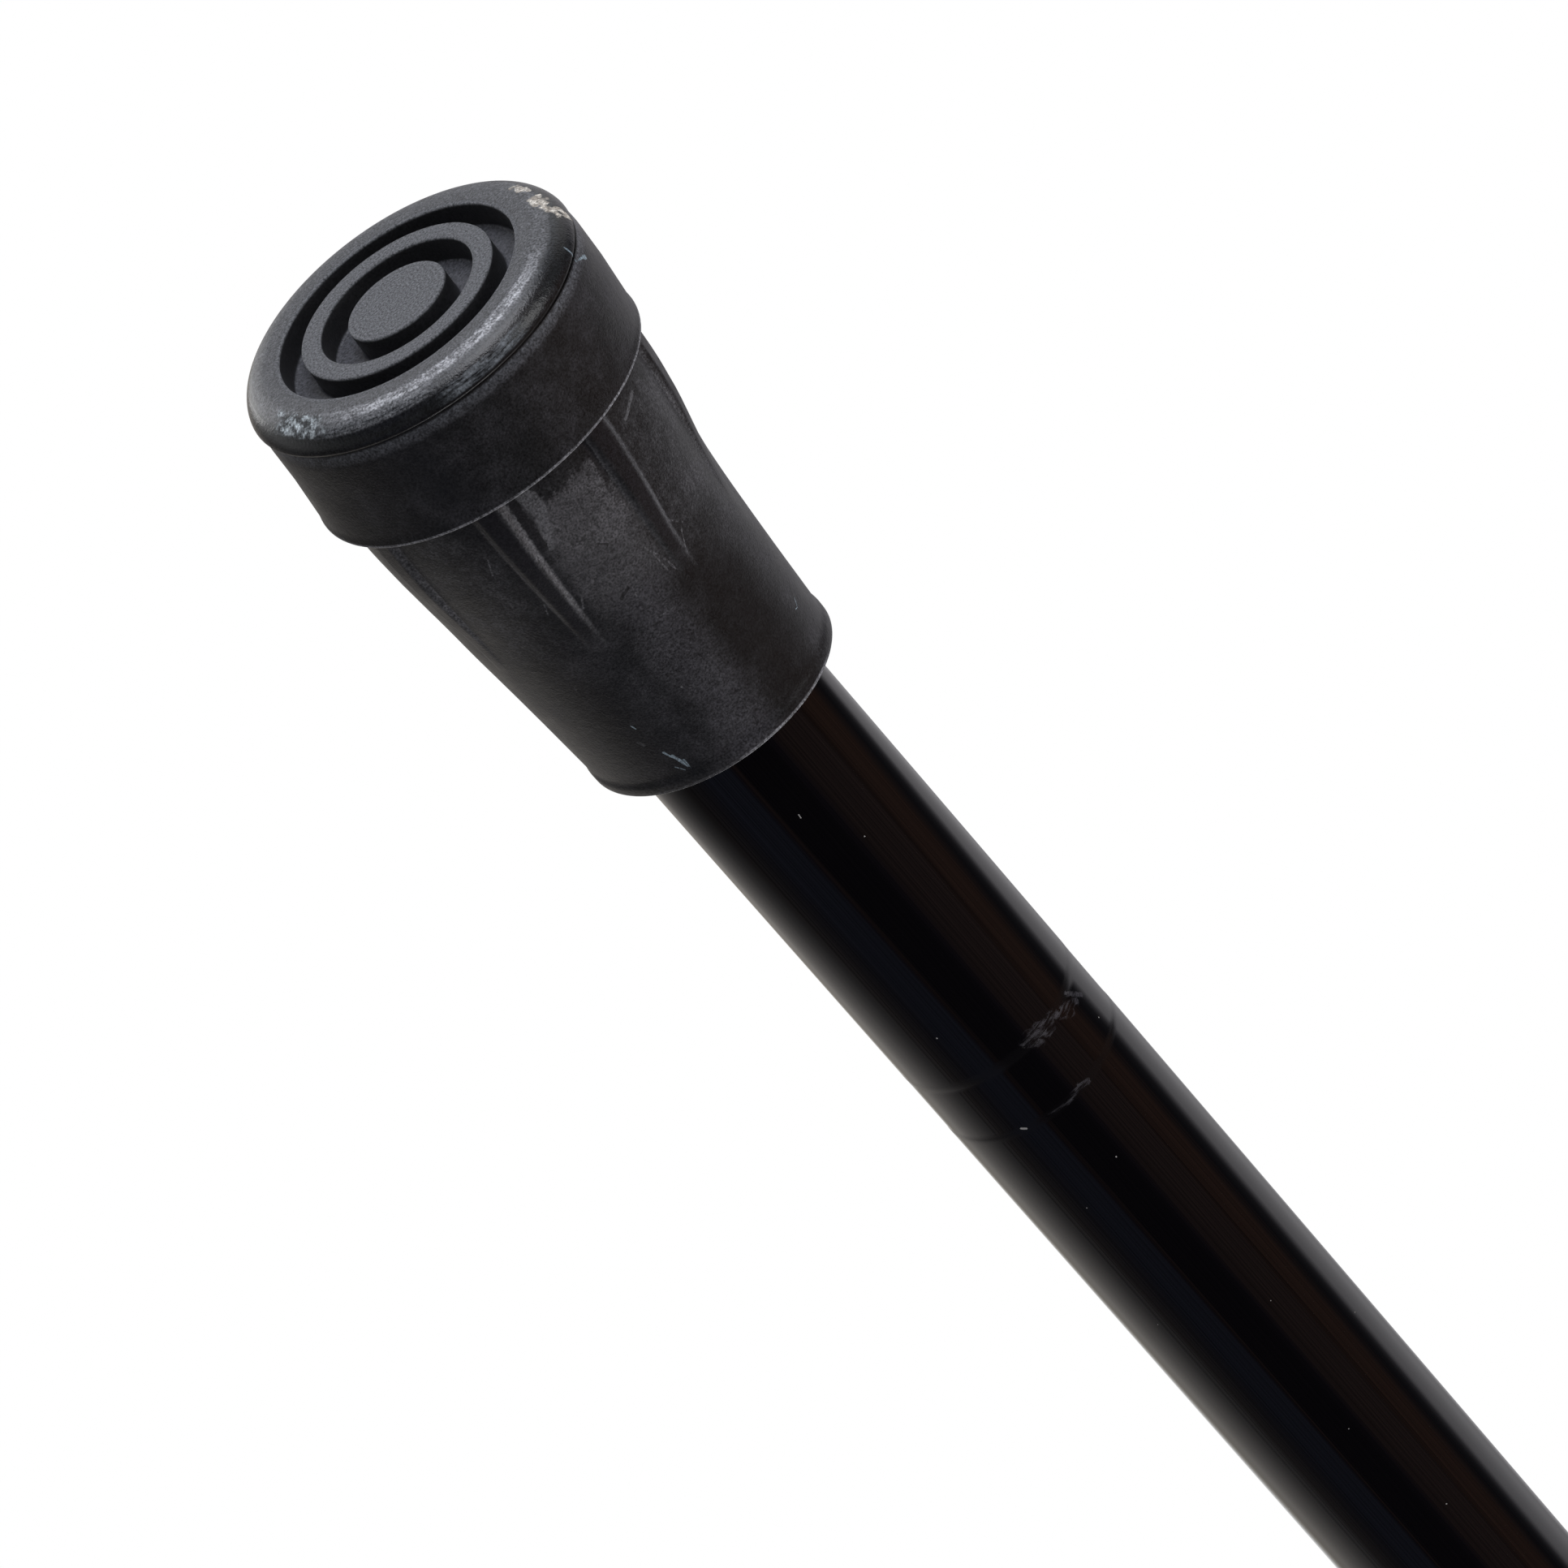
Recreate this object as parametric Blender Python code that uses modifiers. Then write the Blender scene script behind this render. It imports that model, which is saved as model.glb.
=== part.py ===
"""Folding walking stick, standing upright with its joints drawn open, ready to fold.

A black tubular stick in four sections, strung on one elastic cord. Each section ends in a
bare spigot that plugs up into the tube above it. Drawn apart by one spigot length, a section
swings up beside the one above. The handle slides up and down in five steps, held by a snap
button and a clamping ring. A rubber foot covers the lower end.

Metres, +Z up the stick, origin at the middle of the foot's tread. The handle points along X.
"""

import math

import bmesh
import bpy
from mathutils import Matrix, Vector

# Clearances
FIT = 0.0003  # between pieces that touch
RUN = 0.0006  # between a button or pin and its hole

# Shaft tubes
SHAFT_R = 0.0095
SHAFT_WALL = 0.0012
OUTER_WALL = 0.0012
LOWER_TUBE_TOP = 0.205
MIDDLE_TUBE_LENGTH = 0.190
ADJUSTING_TUBE_LENGTH = 0.190
OUTER_TUBE_LENGTH = 0.192
EDGE = 0.0004  # small chamfers on cut ends
ROLL_DEPTH = 0.0002  # rolled crimp rings
ROLL_WIDTH = 0.0024

# Spigot joints
SPIGOT_WALL = 0.0010
SPIGOT_REACH = 0.030  # stands out of the tube that carries it
SPIGOT_SEAT = 0.028  # pressed into that tube
RING_HEIGHT = 0.0020
BUSH_FLANGE = 0.0016
BUSH_DEPTH = 0.009
DRAW_GAP = 0.0025  # between a drawn spigot's tip and the mouth it left

# Elastic cord
CORD_R = 0.0020
CORD_BORE = CORD_R + FIT
CORD_TAIL = 0.008  # a joint stretch reaches this far into the pieces on both sides
PLUG_HEIGHT = 0.012
KNOT_R = 0.0040
ANCHOR_Z = 0.0982  # middle of the lower anchor plug, under the rolled ring
ANCHOR_ROLL_WIDTH = 0.0075

# Fold pivots: how far beside the axis each one lies, and which way the section swings
UPPER_PIVOT = 0.0135
MIDDLE_PIVOT = 0.0150
LOWER_PIVOT = 0.0150
UPPER_FOLD_DEG = 90
MIDDLE_FOLD_DEG = 0
LOWER_FOLD_DEG = -60

# Rubber foot, from the tread up
FOOT_HEIGHT = 0.0503
FOOT_BORE_FLOOR = 0.0126
MOUTH_R = 0.0127
MOUTH_LIP = 0.0015
MOUTH_LIP_STAND = 0.0002
NECK_BASE = 0.0315
NECK_BASE_R = 0.0136
SHOULDER = 0.0205
SHOULDER_R = 0.0149
BODY_ROOT_R = 0.0153
COLLAR_TOP = 0.0135
COLLAR_TOP_R = 0.0166
COLLAR_BASE_R = 0.0164
PARTING_Z = 0.0034
PARTING_DEPTH = 0.0003
RIM_ROUND = 0.0029
RIM_R = 0.0165
GROOVE_DEPTH = 0.0027
BOSS_R = 0.0049
RING_INNER_R = 0.0077
RING_OUTER_R = 0.0097
GROOVE_OUTER_R = 0.0119
RIB_COUNT = 8
RIB_WIDTH = 0.0026
RIB_STAND = 0.0005
WASHER_HEIGHT = 0.0012

# Handle tube, its holes and its clamp
HOLE_COUNT = 5
HOLE_PITCH = 0.0254
REST_HOLE = 2  # counted from the lowest
FIRST_HOLE = 0.030  # above the handle tube's lower end
HOLE_R = 0.0036
BUTTON_TO_TOP = 0.030  # from the button to the adjusting tube's top
BUTTON_STAND = 0.0021  # how far the button stands out when it has snapped
BUTTON_UNDER = 0.0001  # how far its tip lies inside the tube when it is pressed
BUTTON_FLANGE_R = 0.0039
BUTTON_FLANGE = 0.0008
SPRING_WIDTH = 0.0070
SPRING_STOCK = 0.0007
SPRING_LEG = 0.034
TOP_PLUG_BELOW = 0.060  # top anchor plug, below the button
SLEEVE_WALL = 0.0016
SLEEVE_OVERLAP = 0.012
SLEEVE_FINGERS = 0.009
RING_WALL = 0.0018
RING_UP = 0.006
RING_DOWN = 0.012
RING_FLUTES = 18
FLUTE_R = 0.0011

# Handle
SOCKET_DEPTH = 0.024
NECK_R = 0.0136
COLLAR_RING_HEIGHT = 0.007
COLLAR_RING_WALL = 0.0022
PIN_R = 0.0015
PIN_ABOVE_NECK = 0.013
GRIP_HALF_WIDTH = 0.0138
GRIP_RISE = 0.037  # from the neck's end to the top of the grip
GRIP_FRONT = 0.047
GRIP_BACK = 0.066

# Worked out from the sizes above
OUTER_R = SHAFT_R + FIT + OUTER_WALL
OUTER_BORE = SHAFT_R + FIT
SHAFT_BORE = SHAFT_R - SHAFT_WALL
SPIGOT_R = SHAFT_BORE - FIT
SPIGOT_BORE = SPIGOT_R - SPIGOT_WALL
PLUG_R = SHAFT_BORE - FIT
FOOT_BORE = SHAFT_R + FIT
TIP = RING_HEIGHT + 2 * FIT + SPIGOT_REACH + BUSH_FLANGE
TRAVEL = TIP + DRAW_GAP - RING_HEIGHT - 2 * FIT

LOWER_TUBE_BASE = FOOT_BORE_FLOOR + WASHER_HEIGHT + 2 * FIT
LOWER_MOUTH = LOWER_TUBE_TOP + TIP + DRAW_GAP
LOWER_MIDDLE_TOP = LOWER_MOUTH + MIDDLE_TUBE_LENGTH
MIDDLE_MOUTH = LOWER_MIDDLE_TOP + TIP + DRAW_GAP
UPPER_MIDDLE_TOP = MIDDLE_MOUTH + MIDDLE_TUBE_LENGTH
UPPER_MOUTH = UPPER_MIDDLE_TOP + TIP + DRAW_GAP
ADJUSTING_TOP = UPPER_MOUTH + ADJUSTING_TUBE_LENGTH
BUTTON_Z = ADJUSTING_TOP - BUTTON_TO_TOP
TOP_PLUG_Z = BUTTON_Z - TOP_PLUG_BELOW
OUTER_BASE = BUTTON_Z - FIRST_HOLE - REST_HOLE * HOLE_PITCH
OUTER_TOP = OUTER_BASE + OUTER_TUBE_LENGTH
NECK_END = OUTER_TOP + FIT - SOCKET_DEPTH
PIN_Z = NECK_END + PIN_ABOVE_NECK

# Facets round the turned pieces
ROUND = 28
FINE_ROUND = 44
INNER_ROUND = 22
KNOT_ROUND = 14


def clear_scene():
    for thing in list(bpy.data.objects):
        bpy.data.objects.remove(thing, do_unlink=True)


def collection(name):
    made = bpy.data.collections.new(name)
    bpy.context.scene.collection.children.link(made)
    return made


def finish(name, colour, roughness, metallic=0.0):
    """A plain shader with the piece's colour, roughness and metallic value."""
    material = bpy.data.materials.new(name)
    material.use_nodes = True
    shader = material.node_tree.nodes["Principled BSDF"]
    shader.inputs["Base Color"].default_value = (*colour, 1)
    shader.inputs["Roughness"].default_value = roughness
    shader.inputs["Metallic"].default_value = metallic
    material.diffuse_color = (*colour, 1)
    return material


def body(name, x, y, z):
    """An empty on a joint's axis, which carries the pieces that move together."""
    empty = bpy.data.objects.new(name, None)
    empty.location = (x, y, z)
    empty.empty_display_size = 0.02
    STICK.objects.link(empty)
    return empty


def piece(name, mesh, carrier, at, material, turn=(0, 0, 0)):
    """A mesh object at a place in the stick's frame, parented to the empty that carries it."""
    made = bpy.data.objects.new(name, mesh)
    STICK.objects.link(made)
    made.parent = carrier
    made.location = Vector(at) - carrier.location
    made.rotation_euler = turn
    if material:
        mesh.materials.append(material)
    return made


def cutter(name, mesh, carrier, at, turn=(0, 0, 0)):
    made = bpy.data.objects.new(name, mesh)
    CUTTERS.objects.link(made)
    made.parent = carrier
    made.location = Vector(at) - carrier.location
    made.rotation_euler = turn
    made.hide_render = True
    made.display_type = "WIRE"
    return made


def cut(target, tool, operation="DIFFERENCE"):
    step = target.modifiers.new(f"{operation.title()} {tool.name}", "BOOLEAN")
    step.object = tool
    step.operation = operation
    step.solver = "EXACT"
    return step


def to_mesh(shape, name):
    mesh = bpy.data.meshes.new(name)
    shape.to_mesh(mesh)
    shape.free()
    return mesh


def smooth(mesh, angle=35):
    mesh.shade_smooth()
    mesh.set_sharp_from_angle(angle=math.radians(angle))


def arc(x, z, radius, start, end, steps):
    """Points on an arc in the profile's plane, angles in degrees."""
    turns = [math.radians(start + (end - start) * i / steps) for i in range(steps + 1)]
    return [(x + radius * math.cos(t), z + radius * math.sin(t)) for t in turns]


def turned(name, outline, carrier, z, material, segments=ROUND, turn=(0, 0, 0), at=None):
    """A turned piece. The outline runs down its outer side, then up its inner side.

    It is closed unless both of its ends lie on the axis.
    """
    shape = bmesh.new()
    points = [shape.verts.new((r, 0, height)) for r, height in outline]
    closed = outline[0][0] > 0 or outline[-1][0] > 0
    for first, second in zip(points, points[1:] + points[:1] if closed else points[1:]):
        shape.edges.new((first, second))
    made = piece(name, to_mesh(shape, name), carrier, at or (0, 0, z), material, turn)
    screw = made.modifiers.new("Turn", "SCREW")
    screw.axis = "Z"
    screw.angle = math.tau
    screw.steps = segments
    screw.render_steps = segments
    screw.use_merge_vertices = True
    screw.merge_threshold = 1e-6
    screw.use_smooth_shade = True
    return made


def pipe_outline(length, outer, bore, rolls=()):
    """A tube's wall with chamfered ends and shallow rolled rings, given as (middle, width)."""
    outline = [(bore, length), (outer - EDGE, length), (outer, length - EDGE)]
    for middle, width in sorted(rolls, reverse=True):
        slope = 2 * ROLL_DEPTH
        outline += [
            (outer, middle + width / 2),
            (outer - ROLL_DEPTH, middle + width / 2 - slope),
            (outer - ROLL_DEPTH, middle - width / 2 + slope),
            (outer, middle - width / 2),
        ]
    return outline + [(outer, EDGE), (outer - EDGE, 0), (bore, 0)]


def cylinder_mesh(name, radius, length, segments=ROUND, middle=False):
    """A closed cylinder along Z, from zero up or centred."""
    shape = bmesh.new()
    bmesh.ops.create_cone(
        shape,
        cap_ends=True,
        segments=segments,
        radius1=radius,
        radius2=radius,
        depth=length,
    )
    if not middle:
        bmesh.ops.translate(shape, verts=shape.verts, vec=(0, 0, length / 2))
    mesh = to_mesh(shape, name)
    smooth(mesh)
    return mesh


def copies(shape, count, angle):
    """Repeats all of a bmesh round Z, count copies in all."""
    first = shape.verts[:] + shape.edges[:] + shape.faces[:]
    for number in range(1, count):
        made = bmesh.ops.duplicate(shape, geom=first)["geom"]
        corners = [part for part in made if isinstance(part, bmesh.types.BMVert)]
        around = Matrix.Rotation(number * angle, 3, "Z")
        bmesh.ops.rotate(shape, verts=corners, cent=(0, 0, 0), matrix=around)


def foot_outline():
    """Lipped mouth, body, collar, parting line, rounded rim, then the tread's two grooves."""
    body_side = [
        (MOUTH_R, FOOT_HEIGHT),
        (MOUTH_R, FOOT_HEIGHT - MOUTH_LIP),
        (MOUTH_R - MOUTH_LIP_STAND, FOOT_HEIGHT - MOUTH_LIP - MOUTH_LIP_STAND),
        (NECK_BASE_R, NECK_BASE),
        (SHOULDER_R, SHOULDER),
        (BODY_ROOT_R, COLLAR_TOP),
    ]
    collar = [
        (COLLAR_TOP_R - EDGE, COLLAR_TOP),
        (COLLAR_TOP_R, COLLAR_TOP - EDGE),
        (COLLAR_BASE_R, PARTING_Z + 2 * PARTING_DEPTH),
        (COLLAR_BASE_R - PARTING_DEPTH, PARTING_Z + PARTING_DEPTH),
        (RIM_R, PARTING_Z),
    ]
    rim = arc(RIM_R - RIM_ROUND, RIM_ROUND, RIM_ROUND, 0, -90, 4)
    tread = [
        (GROOVE_OUTER_R, 0),
        (GROOVE_OUTER_R, GROOVE_DEPTH),
        (RING_OUTER_R, GROOVE_DEPTH),
        (RING_OUTER_R, 0),
        (RING_INNER_R, 0),
        (RING_INNER_R, GROOVE_DEPTH),
        (BOSS_R, GROOVE_DEPTH),
        (BOSS_R, 0),
        (0, 0),
    ]
    bore = [(0, FOOT_BORE_FLOOR), (FOOT_BORE, FOOT_BORE_FLOOR), (FOOT_BORE, FOOT_HEIGHT)]
    return bore + body_side + collar + rim + tread


def rib_mesh():
    """Eight flat ribs that start under the collar and run out where the neck starts."""
    root = 0.0015
    side = [
        (BODY_ROOT_R - root, COLLAR_TOP - 2 * root),
        (BODY_ROOT_R + RIB_STAND, COLLAR_TOP - 2 * root),
        (BODY_ROOT_R + RIB_STAND, COLLAR_TOP),
        (SHOULDER_R + RIB_STAND, SHOULDER),
        (NECK_BASE_R, NECK_BASE),
        (NECK_BASE_R - root, NECK_BASE),
        (SHOULDER_R - root, SHOULDER),
    ]
    shape = bmesh.new()
    rib = shape.faces.new([shape.verts.new((r, -RIB_WIDTH / 2, z)) for r, z in side])
    swept = bmesh.ops.extrude_face_region(shape, geom=[rib])["geom"]
    corners = [part for part in swept if isinstance(part, bmesh.types.BMVert)]
    bmesh.ops.translate(shape, verts=corners, vec=(0, RIB_WIDTH, 0))
    bmesh.ops.recalc_face_normals(shape, faces=shape.faces)
    bmesh.ops.rotate(
        shape,
        verts=shape.verts,
        cent=(0, 0, 0),
        matrix=Matrix.Rotation(math.pi / RIB_COUNT, 3, "Z"),
    )
    copies(shape, RIB_COUNT, math.tau / RIB_COUNT)
    return to_mesh(shape, "foot_ribs")


def make_foot(carrier):
    foot = turned("ferrule", foot_outline(), carrier, 0, RUBBER, FINE_ROUND)
    cut(foot, cutter("foot_ribs", rib_mesh(), carrier, (0, 0, 0)), "UNION")
    washer = [
        (SHAFT_R, WASHER_HEIGHT),
        (SHAFT_R, 0),
        (SHAFT_BORE / 2, 0),
        (SHAFT_BORE / 2, WASHER_HEIGHT),
    ]
    turned("ferrule_washer", washer, carrier, FOOT_BORE_FLOOR + FIT, STEEL, INNER_ROUND)


def make_plug(name, carrier, middle):
    """A waisted plug with a bore for the cord, held by a ring rolled into its tube."""
    waist = PLUG_R - ROLL_DEPTH
    half = PLUG_HEIGHT / 2
    outline = [
        (PLUG_R, half),
        (PLUG_R, half / 2),
        (waist, half / 3),
        (waist, -half / 3),
        (PLUG_R, -half / 2),
        (PLUG_R, -half),
        (CORD_BORE, -half),
        (CORD_BORE, half),
    ]
    turned(name, outline, carrier, middle, PLASTIC, INNER_ROUND)


def make_knot(name, carrier, seat, up):
    """The cord's knotted end, a squashed ball that stops against its plug."""
    middle = seat + (KNOT_R + FIT) * (1 if up else -1)
    outline = arc(0, 0, KNOT_R, 90, -90, 8)
    outline[0] = (0, KNOT_R)
    outline[-1] = (0, -KNOT_R)
    turned(name, outline, carrier, middle, CORD, KNOT_ROUND)


def make_cord(name, carrier, low, high):
    length = high - low - FIT
    mesh = cylinder_mesh(name, CORD_R, length, 12)
    piece(name, mesh, carrier, (0, 0, low + FIT / 2), CORD)


def make_joint(prefix, carrier, top):
    """The spigot on a tube's upper end, its seat ring and the cord's guide bush."""
    spigot_length = SPIGOT_SEAT + RING_HEIGHT + 2 * FIT + SPIGOT_REACH - FIT
    spigot = pipe_outline(spigot_length, SPIGOT_R, SPIGOT_BORE)
    turned(f"{prefix}_spigot", spigot, carrier, top - SPIGOT_SEAT, ALUMINIUM, INNER_ROUND)
    ring = [
        (SHAFT_R - EDGE, RING_HEIGHT),
        (SHAFT_R, RING_HEIGHT - EDGE),
        (SHAFT_R, EDGE),
        (SHAFT_R - EDGE, 0),
        (SPIGOT_R + FIT, 0),
        (SPIGOT_R + FIT, RING_HEIGHT),
    ]
    turned(f"{prefix}_joint_ring", ring, carrier, top + FIT, PLASTIC)
    neck = SPIGOT_BORE - FIT
    flange_top = top + TIP
    flare = BUSH_FLANGE * 0.8
    throat = arc(CORD_BORE + flare, -flare, flare, 180, 90, 3)
    bush = arc(SPIGOT_R - flare, -flare, flare, 90, 0, 2)
    bush += [(SPIGOT_R, -BUSH_FLANGE), (neck, -BUSH_FLANGE), (neck, -BUSH_DEPTH)]
    bush += [(CORD_BORE, -BUSH_DEPTH)] + throat
    turned(f"{prefix}_guide_bush", bush, carrier, flange_top, PLASTIC, INNER_ROUND)


def make_lower_section(carrier):
    length = LOWER_TUBE_TOP - LOWER_TUBE_BASE
    rolls = [(ANCHOR_Z - LOWER_TUBE_BASE, ANCHOR_ROLL_WIDTH), joint_roll(length)]
    tube = pipe_outline(length, SHAFT_R, SHAFT_BORE, rolls)
    turned("lower_tube", tube, carrier, LOWER_TUBE_BASE, ENAMEL)
    make_foot(carrier)
    make_plug("cord_anchor_plug", carrier, ANCHOR_Z)
    make_knot("cord_anchor_knot", carrier, ANCHOR_Z - PLUG_HEIGHT / 2, False)
    make_joint("lower", carrier, LOWER_TUBE_TOP)
    knot_top = ANCHOR_Z - PLUG_HEIGHT / 2 - FIT
    make_cord("elastic_cord_lower", carrier, knot_top, LOWER_TUBE_TOP + TIP - CORD_TAIL)


def joint_roll(length):
    """The ring rolled into a tube to hold the spigot that it carries."""
    return length - SPIGOT_SEAT / 2, ROLL_WIDTH


def make_middle_section(prefix, carrier, mouth):
    length = MIDDLE_TUBE_LENGTH
    tube = pipe_outline(length, SHAFT_R, SHAFT_BORE, [joint_roll(length)])
    turned(f"{prefix}_tube", tube, carrier, mouth, ENAMEL)
    joint = {"lower_middle": "middle", "upper_middle": "upper"}[prefix]
    top = mouth + length
    make_joint(joint, carrier, top)
    make_cord(f"elastic_cord_{joint}", carrier, mouth + CORD_TAIL, top + TIP - CORD_TAIL)


def make_joint_cord(prefix, carrier, mouth):
    low = mouth - DRAW_GAP - CORD_TAIL
    make_cord(f"elastic_cord_at_{prefix}_joint", carrier, low, mouth + CORD_TAIL)


def make_adjusting_tube(carrier):
    length = ADJUSTING_TUBE_LENGTH
    plug_roll = (TOP_PLUG_Z - UPPER_MOUTH, ROLL_WIDTH)
    outline = pipe_outline(length, SHAFT_R, SHAFT_BORE, [plug_roll])
    tube = turned("adjusting_tube", outline, carrier, UPPER_MOUTH, ENAMEL)
    across = (math.pi / 2, 0, 0)
    drill = cylinder_mesh("button_drill", HOLE_R, SHAFT_R * 2, 16)
    cut(tube, cutter("button_drill", drill, carrier, (0, 0, BUTTON_Z), across))
    cap_body = PLUG_HEIGHT / 2
    cap = [
        (SHAFT_R - EDGE, RING_HEIGHT),
        (SHAFT_R, RING_HEIGHT - EDGE),
        (SHAFT_R, 0),
        (PLUG_R, 0),
        (PLUG_R, -cap_body),
        (PLUG_R - SPIGOT_WALL, -cap_body),
        (PLUG_R - SPIGOT_WALL, RING_HEIGHT),
    ]
    turned("adjusting_tube_cap", cap, carrier, ADJUSTING_TOP + FIT, PLASTIC, INNER_ROUND)
    make_plug("cord_top_plug", carrier, TOP_PLUG_Z)
    make_knot("cord_top_knot", carrier, TOP_PLUG_Z + PLUG_HEIGHT / 2, True)
    knot_base = TOP_PLUG_Z + PLUG_HEIGHT / 2 + FIT
    make_cord("elastic_cord_top", carrier, UPPER_MOUTH + CORD_TAIL, knot_base)


def button_lengths():
    """How far from the axis the pressed button's tip and its flange's two faces lie."""
    tip = SHAFT_R - BUTTON_UNDER
    travel = OUTER_R + BUTTON_STAND - tip
    wall_at_flange = math.sqrt(SHAFT_BORE**2 - BUTTON_FLANGE_R**2)
    flange_outer = wall_at_flange - travel - FIT
    return tip, flange_outer, flange_outer - BUTTON_FLANGE


def make_button(carrier):
    tip, flange_outer, flange_inner = button_lengths()
    pin = HOLE_R - RUN
    dome = 0.0012
    outline = [(0, tip)]
    outline += [(pin * 0.45, tip - dome * 0.12), (pin * 0.8, tip - dome * 0.45), (pin, tip - dome)]
    outline += [(pin, flange_outer), (BUTTON_FLANGE_R, flange_outer)]
    outline += [(BUTTON_FLANGE_R, flange_inner), (0, flange_inner)]
    across = (math.pi / 2, 0, 0)
    turned("snap_button", outline, carrier, 0, STEEL, INNER_ROUND, across, (0, 0, BUTTON_Z))


def make_spring(carrier):
    """A flat strip bent into a V, with one leg behind the button and one on the far wall."""
    behind = -(button_lengths()[2] - FIT) + SPRING_STOCK
    wall = math.sqrt(SHAFT_BORE**2 - (SPRING_WIDTH / 2) ** 2) - FIT - SPRING_STOCK / 2
    bend_r = 0.0035
    bend_y = wall - bend_r
    bend_z = -SPRING_LEG
    route = [(behind, BUTTON_FLANGE_R + 0.001), (behind, -BUTTON_FLANGE_R - 0.001)]
    route += arc(bend_y, bend_z, bend_r, 200, 360, 8)
    route += [(wall, BUTTON_FLANGE_R + 0.001)]
    shape = bmesh.new()
    line = [shape.verts.new((-SPRING_WIDTH / 2, y, z)) for y, z in route]
    edges = [shape.edges.new(pair) for pair in zip(line, line[1:])]
    strip = bmesh.ops.extrude_edge_only(shape, edges=edges)["geom"]
    far = [part for part in strip if isinstance(part, bmesh.types.BMVert)]
    bmesh.ops.translate(shape, verts=far, vec=(SPRING_WIDTH, 0, 0))
    bmesh.ops.recalc_face_normals(shape, faces=shape.faces)
    mesh = to_mesh(shape, "button_spring")
    spring = piece("button_spring", mesh, carrier, (0, 0, BUTTON_Z), STEEL)
    wall_step = spring.modifiers.new("Stock", "SOLIDIFY")
    wall_step.thickness = SPRING_STOCK
    wall_step.offset = 0
    wall_step.use_even_offset = True


def make_outer_tube(carrier):
    outline = pipe_outline(OUTER_TUBE_LENGTH, OUTER_R, OUTER_BORE)
    tube = turned("handle_tube", outline, carrier, OUTER_BASE, ENAMEL)
    shape = bmesh.new()
    for number in range(HOLE_COUNT):
        height = FIRST_HOLE + number * HOLE_PITCH
        place = Matrix.Translation((0, -OUTER_R, height)) @ Matrix.Rotation(math.pi / 2, 4, "X")
        bmesh.ops.create_cone(
            shape,
            cap_ends=True,
            segments=16,
            radius1=HOLE_R,
            radius2=HOLE_R,
            depth=OUTER_R,
            matrix=place,
        )
    drills = cutter("height_holes", to_mesh(shape, "height_holes"), carrier, (0, 0, OUTER_BASE))
    cut(tube, drills)
    cut(tube, pin_drill(carrier, "tube_pin_drill"))


def make_clamp_sleeve(carrier):
    """The split sleeve on the handle tube's lower end, whose fingers grip the sliding tube."""
    wall = OUTER_R + FIT + SLEEVE_WALL
    finger_end = -SLEEVE_FINGERS
    outline = [
        (wall - EDGE, SLEEVE_OVERLAP),
        (wall, SLEEVE_OVERLAP - EDGE),
        (wall, finger_end / 3),
        (wall - SLEEVE_WALL * 0.9, finger_end),
        (OUTER_BORE, finger_end),
        (OUTER_BORE, -FIT),
        (OUTER_R + FIT, -FIT),
        (OUTER_R + FIT, SLEEVE_OVERLAP),
    ]
    sleeve = turned("clamp_sleeve", outline, carrier, OUTER_BASE, PLASTIC)
    shape = bmesh.new()
    bmesh.ops.create_cube(shape, size=1)
    bmesh.ops.scale(shape, verts=shape.verts, vec=(wall, 0.0010, SLEEVE_FINGERS))
    bmesh.ops.translate(shape, verts=shape.verts, vec=(wall, 0, finger_end - FIT - EDGE))
    copies(shape, 4, math.tau / 4)
    bmesh.ops.translate(shape, verts=shape.verts, vec=(0, 0, SLEEVE_FINGERS / 2))
    cut(sleeve, cutter("finger_saw", to_mesh(shape, "finger_saw"), carrier, (0, 0, OUTER_BASE)))


def make_clamp_ring(carrier):
    """The fluted ring that screws up the sleeve and squeezes its fingers."""
    sleeve = OUTER_R + FIT + SLEEVE_WALL
    bore = sleeve + FIT
    outer = bore + RING_WALL
    taper_end = -SLEEVE_FINGERS - FIT
    outline = [
        (outer - 2 * EDGE, RING_UP),
        (outer, RING_UP - 2 * EDGE),
        (outer, -RING_DOWN * 0.6),
        (outer - RING_WALL, -RING_DOWN),
        (OUTER_BORE + FIT, -RING_DOWN),
        (OUTER_BORE + FIT, taper_end),
        (bore - SLEEVE_WALL * 0.9, taper_end),
        (bore, -SLEEVE_FINGERS / 3),
        (bore, RING_UP),
    ]
    ring = turned("clamp_ring", outline, carrier, OUTER_BASE, PLASTIC, FINE_ROUND)
    shape = bmesh.new()
    bmesh.ops.create_cone(
        shape,
        cap_ends=True,
        segments=8,
        radius1=FLUTE_R,
        radius2=FLUTE_R,
        depth=(RING_UP + RING_DOWN) * 2,
        matrix=Matrix.Translation((outer + FLUTE_R * 0.4, 0, 0)),
    )
    copies(shape, RING_FLUTES, math.tau / RING_FLUTES)
    cut(ring, cutter("flute_mill", to_mesh(shape, "flute_mill"), carrier, (0, 0, OUTER_BASE)))


def pin_drill(carrier, name):
    mesh = cylinder_mesh(name, PIN_R + FIT, NECK_R * 4, 16, middle=True)
    return cutter(name, mesh, carrier, (0, 0, PIN_Z), (math.pi / 2, 0, 0))


def grow(shape, face, shift, scale):
    """Extrudes one face, scales it about its middle, and moves it."""
    face = bmesh.ops.extrude_discrete_faces(shape, faces=[face])["faces"][0]
    middle = face.calc_center_median()
    for corner in face.verts:
        away = corner.co - middle
        corner.co = middle + Vector(a * s for a, s in zip(away, scale)) + Vector(shift)
    return face


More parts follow.
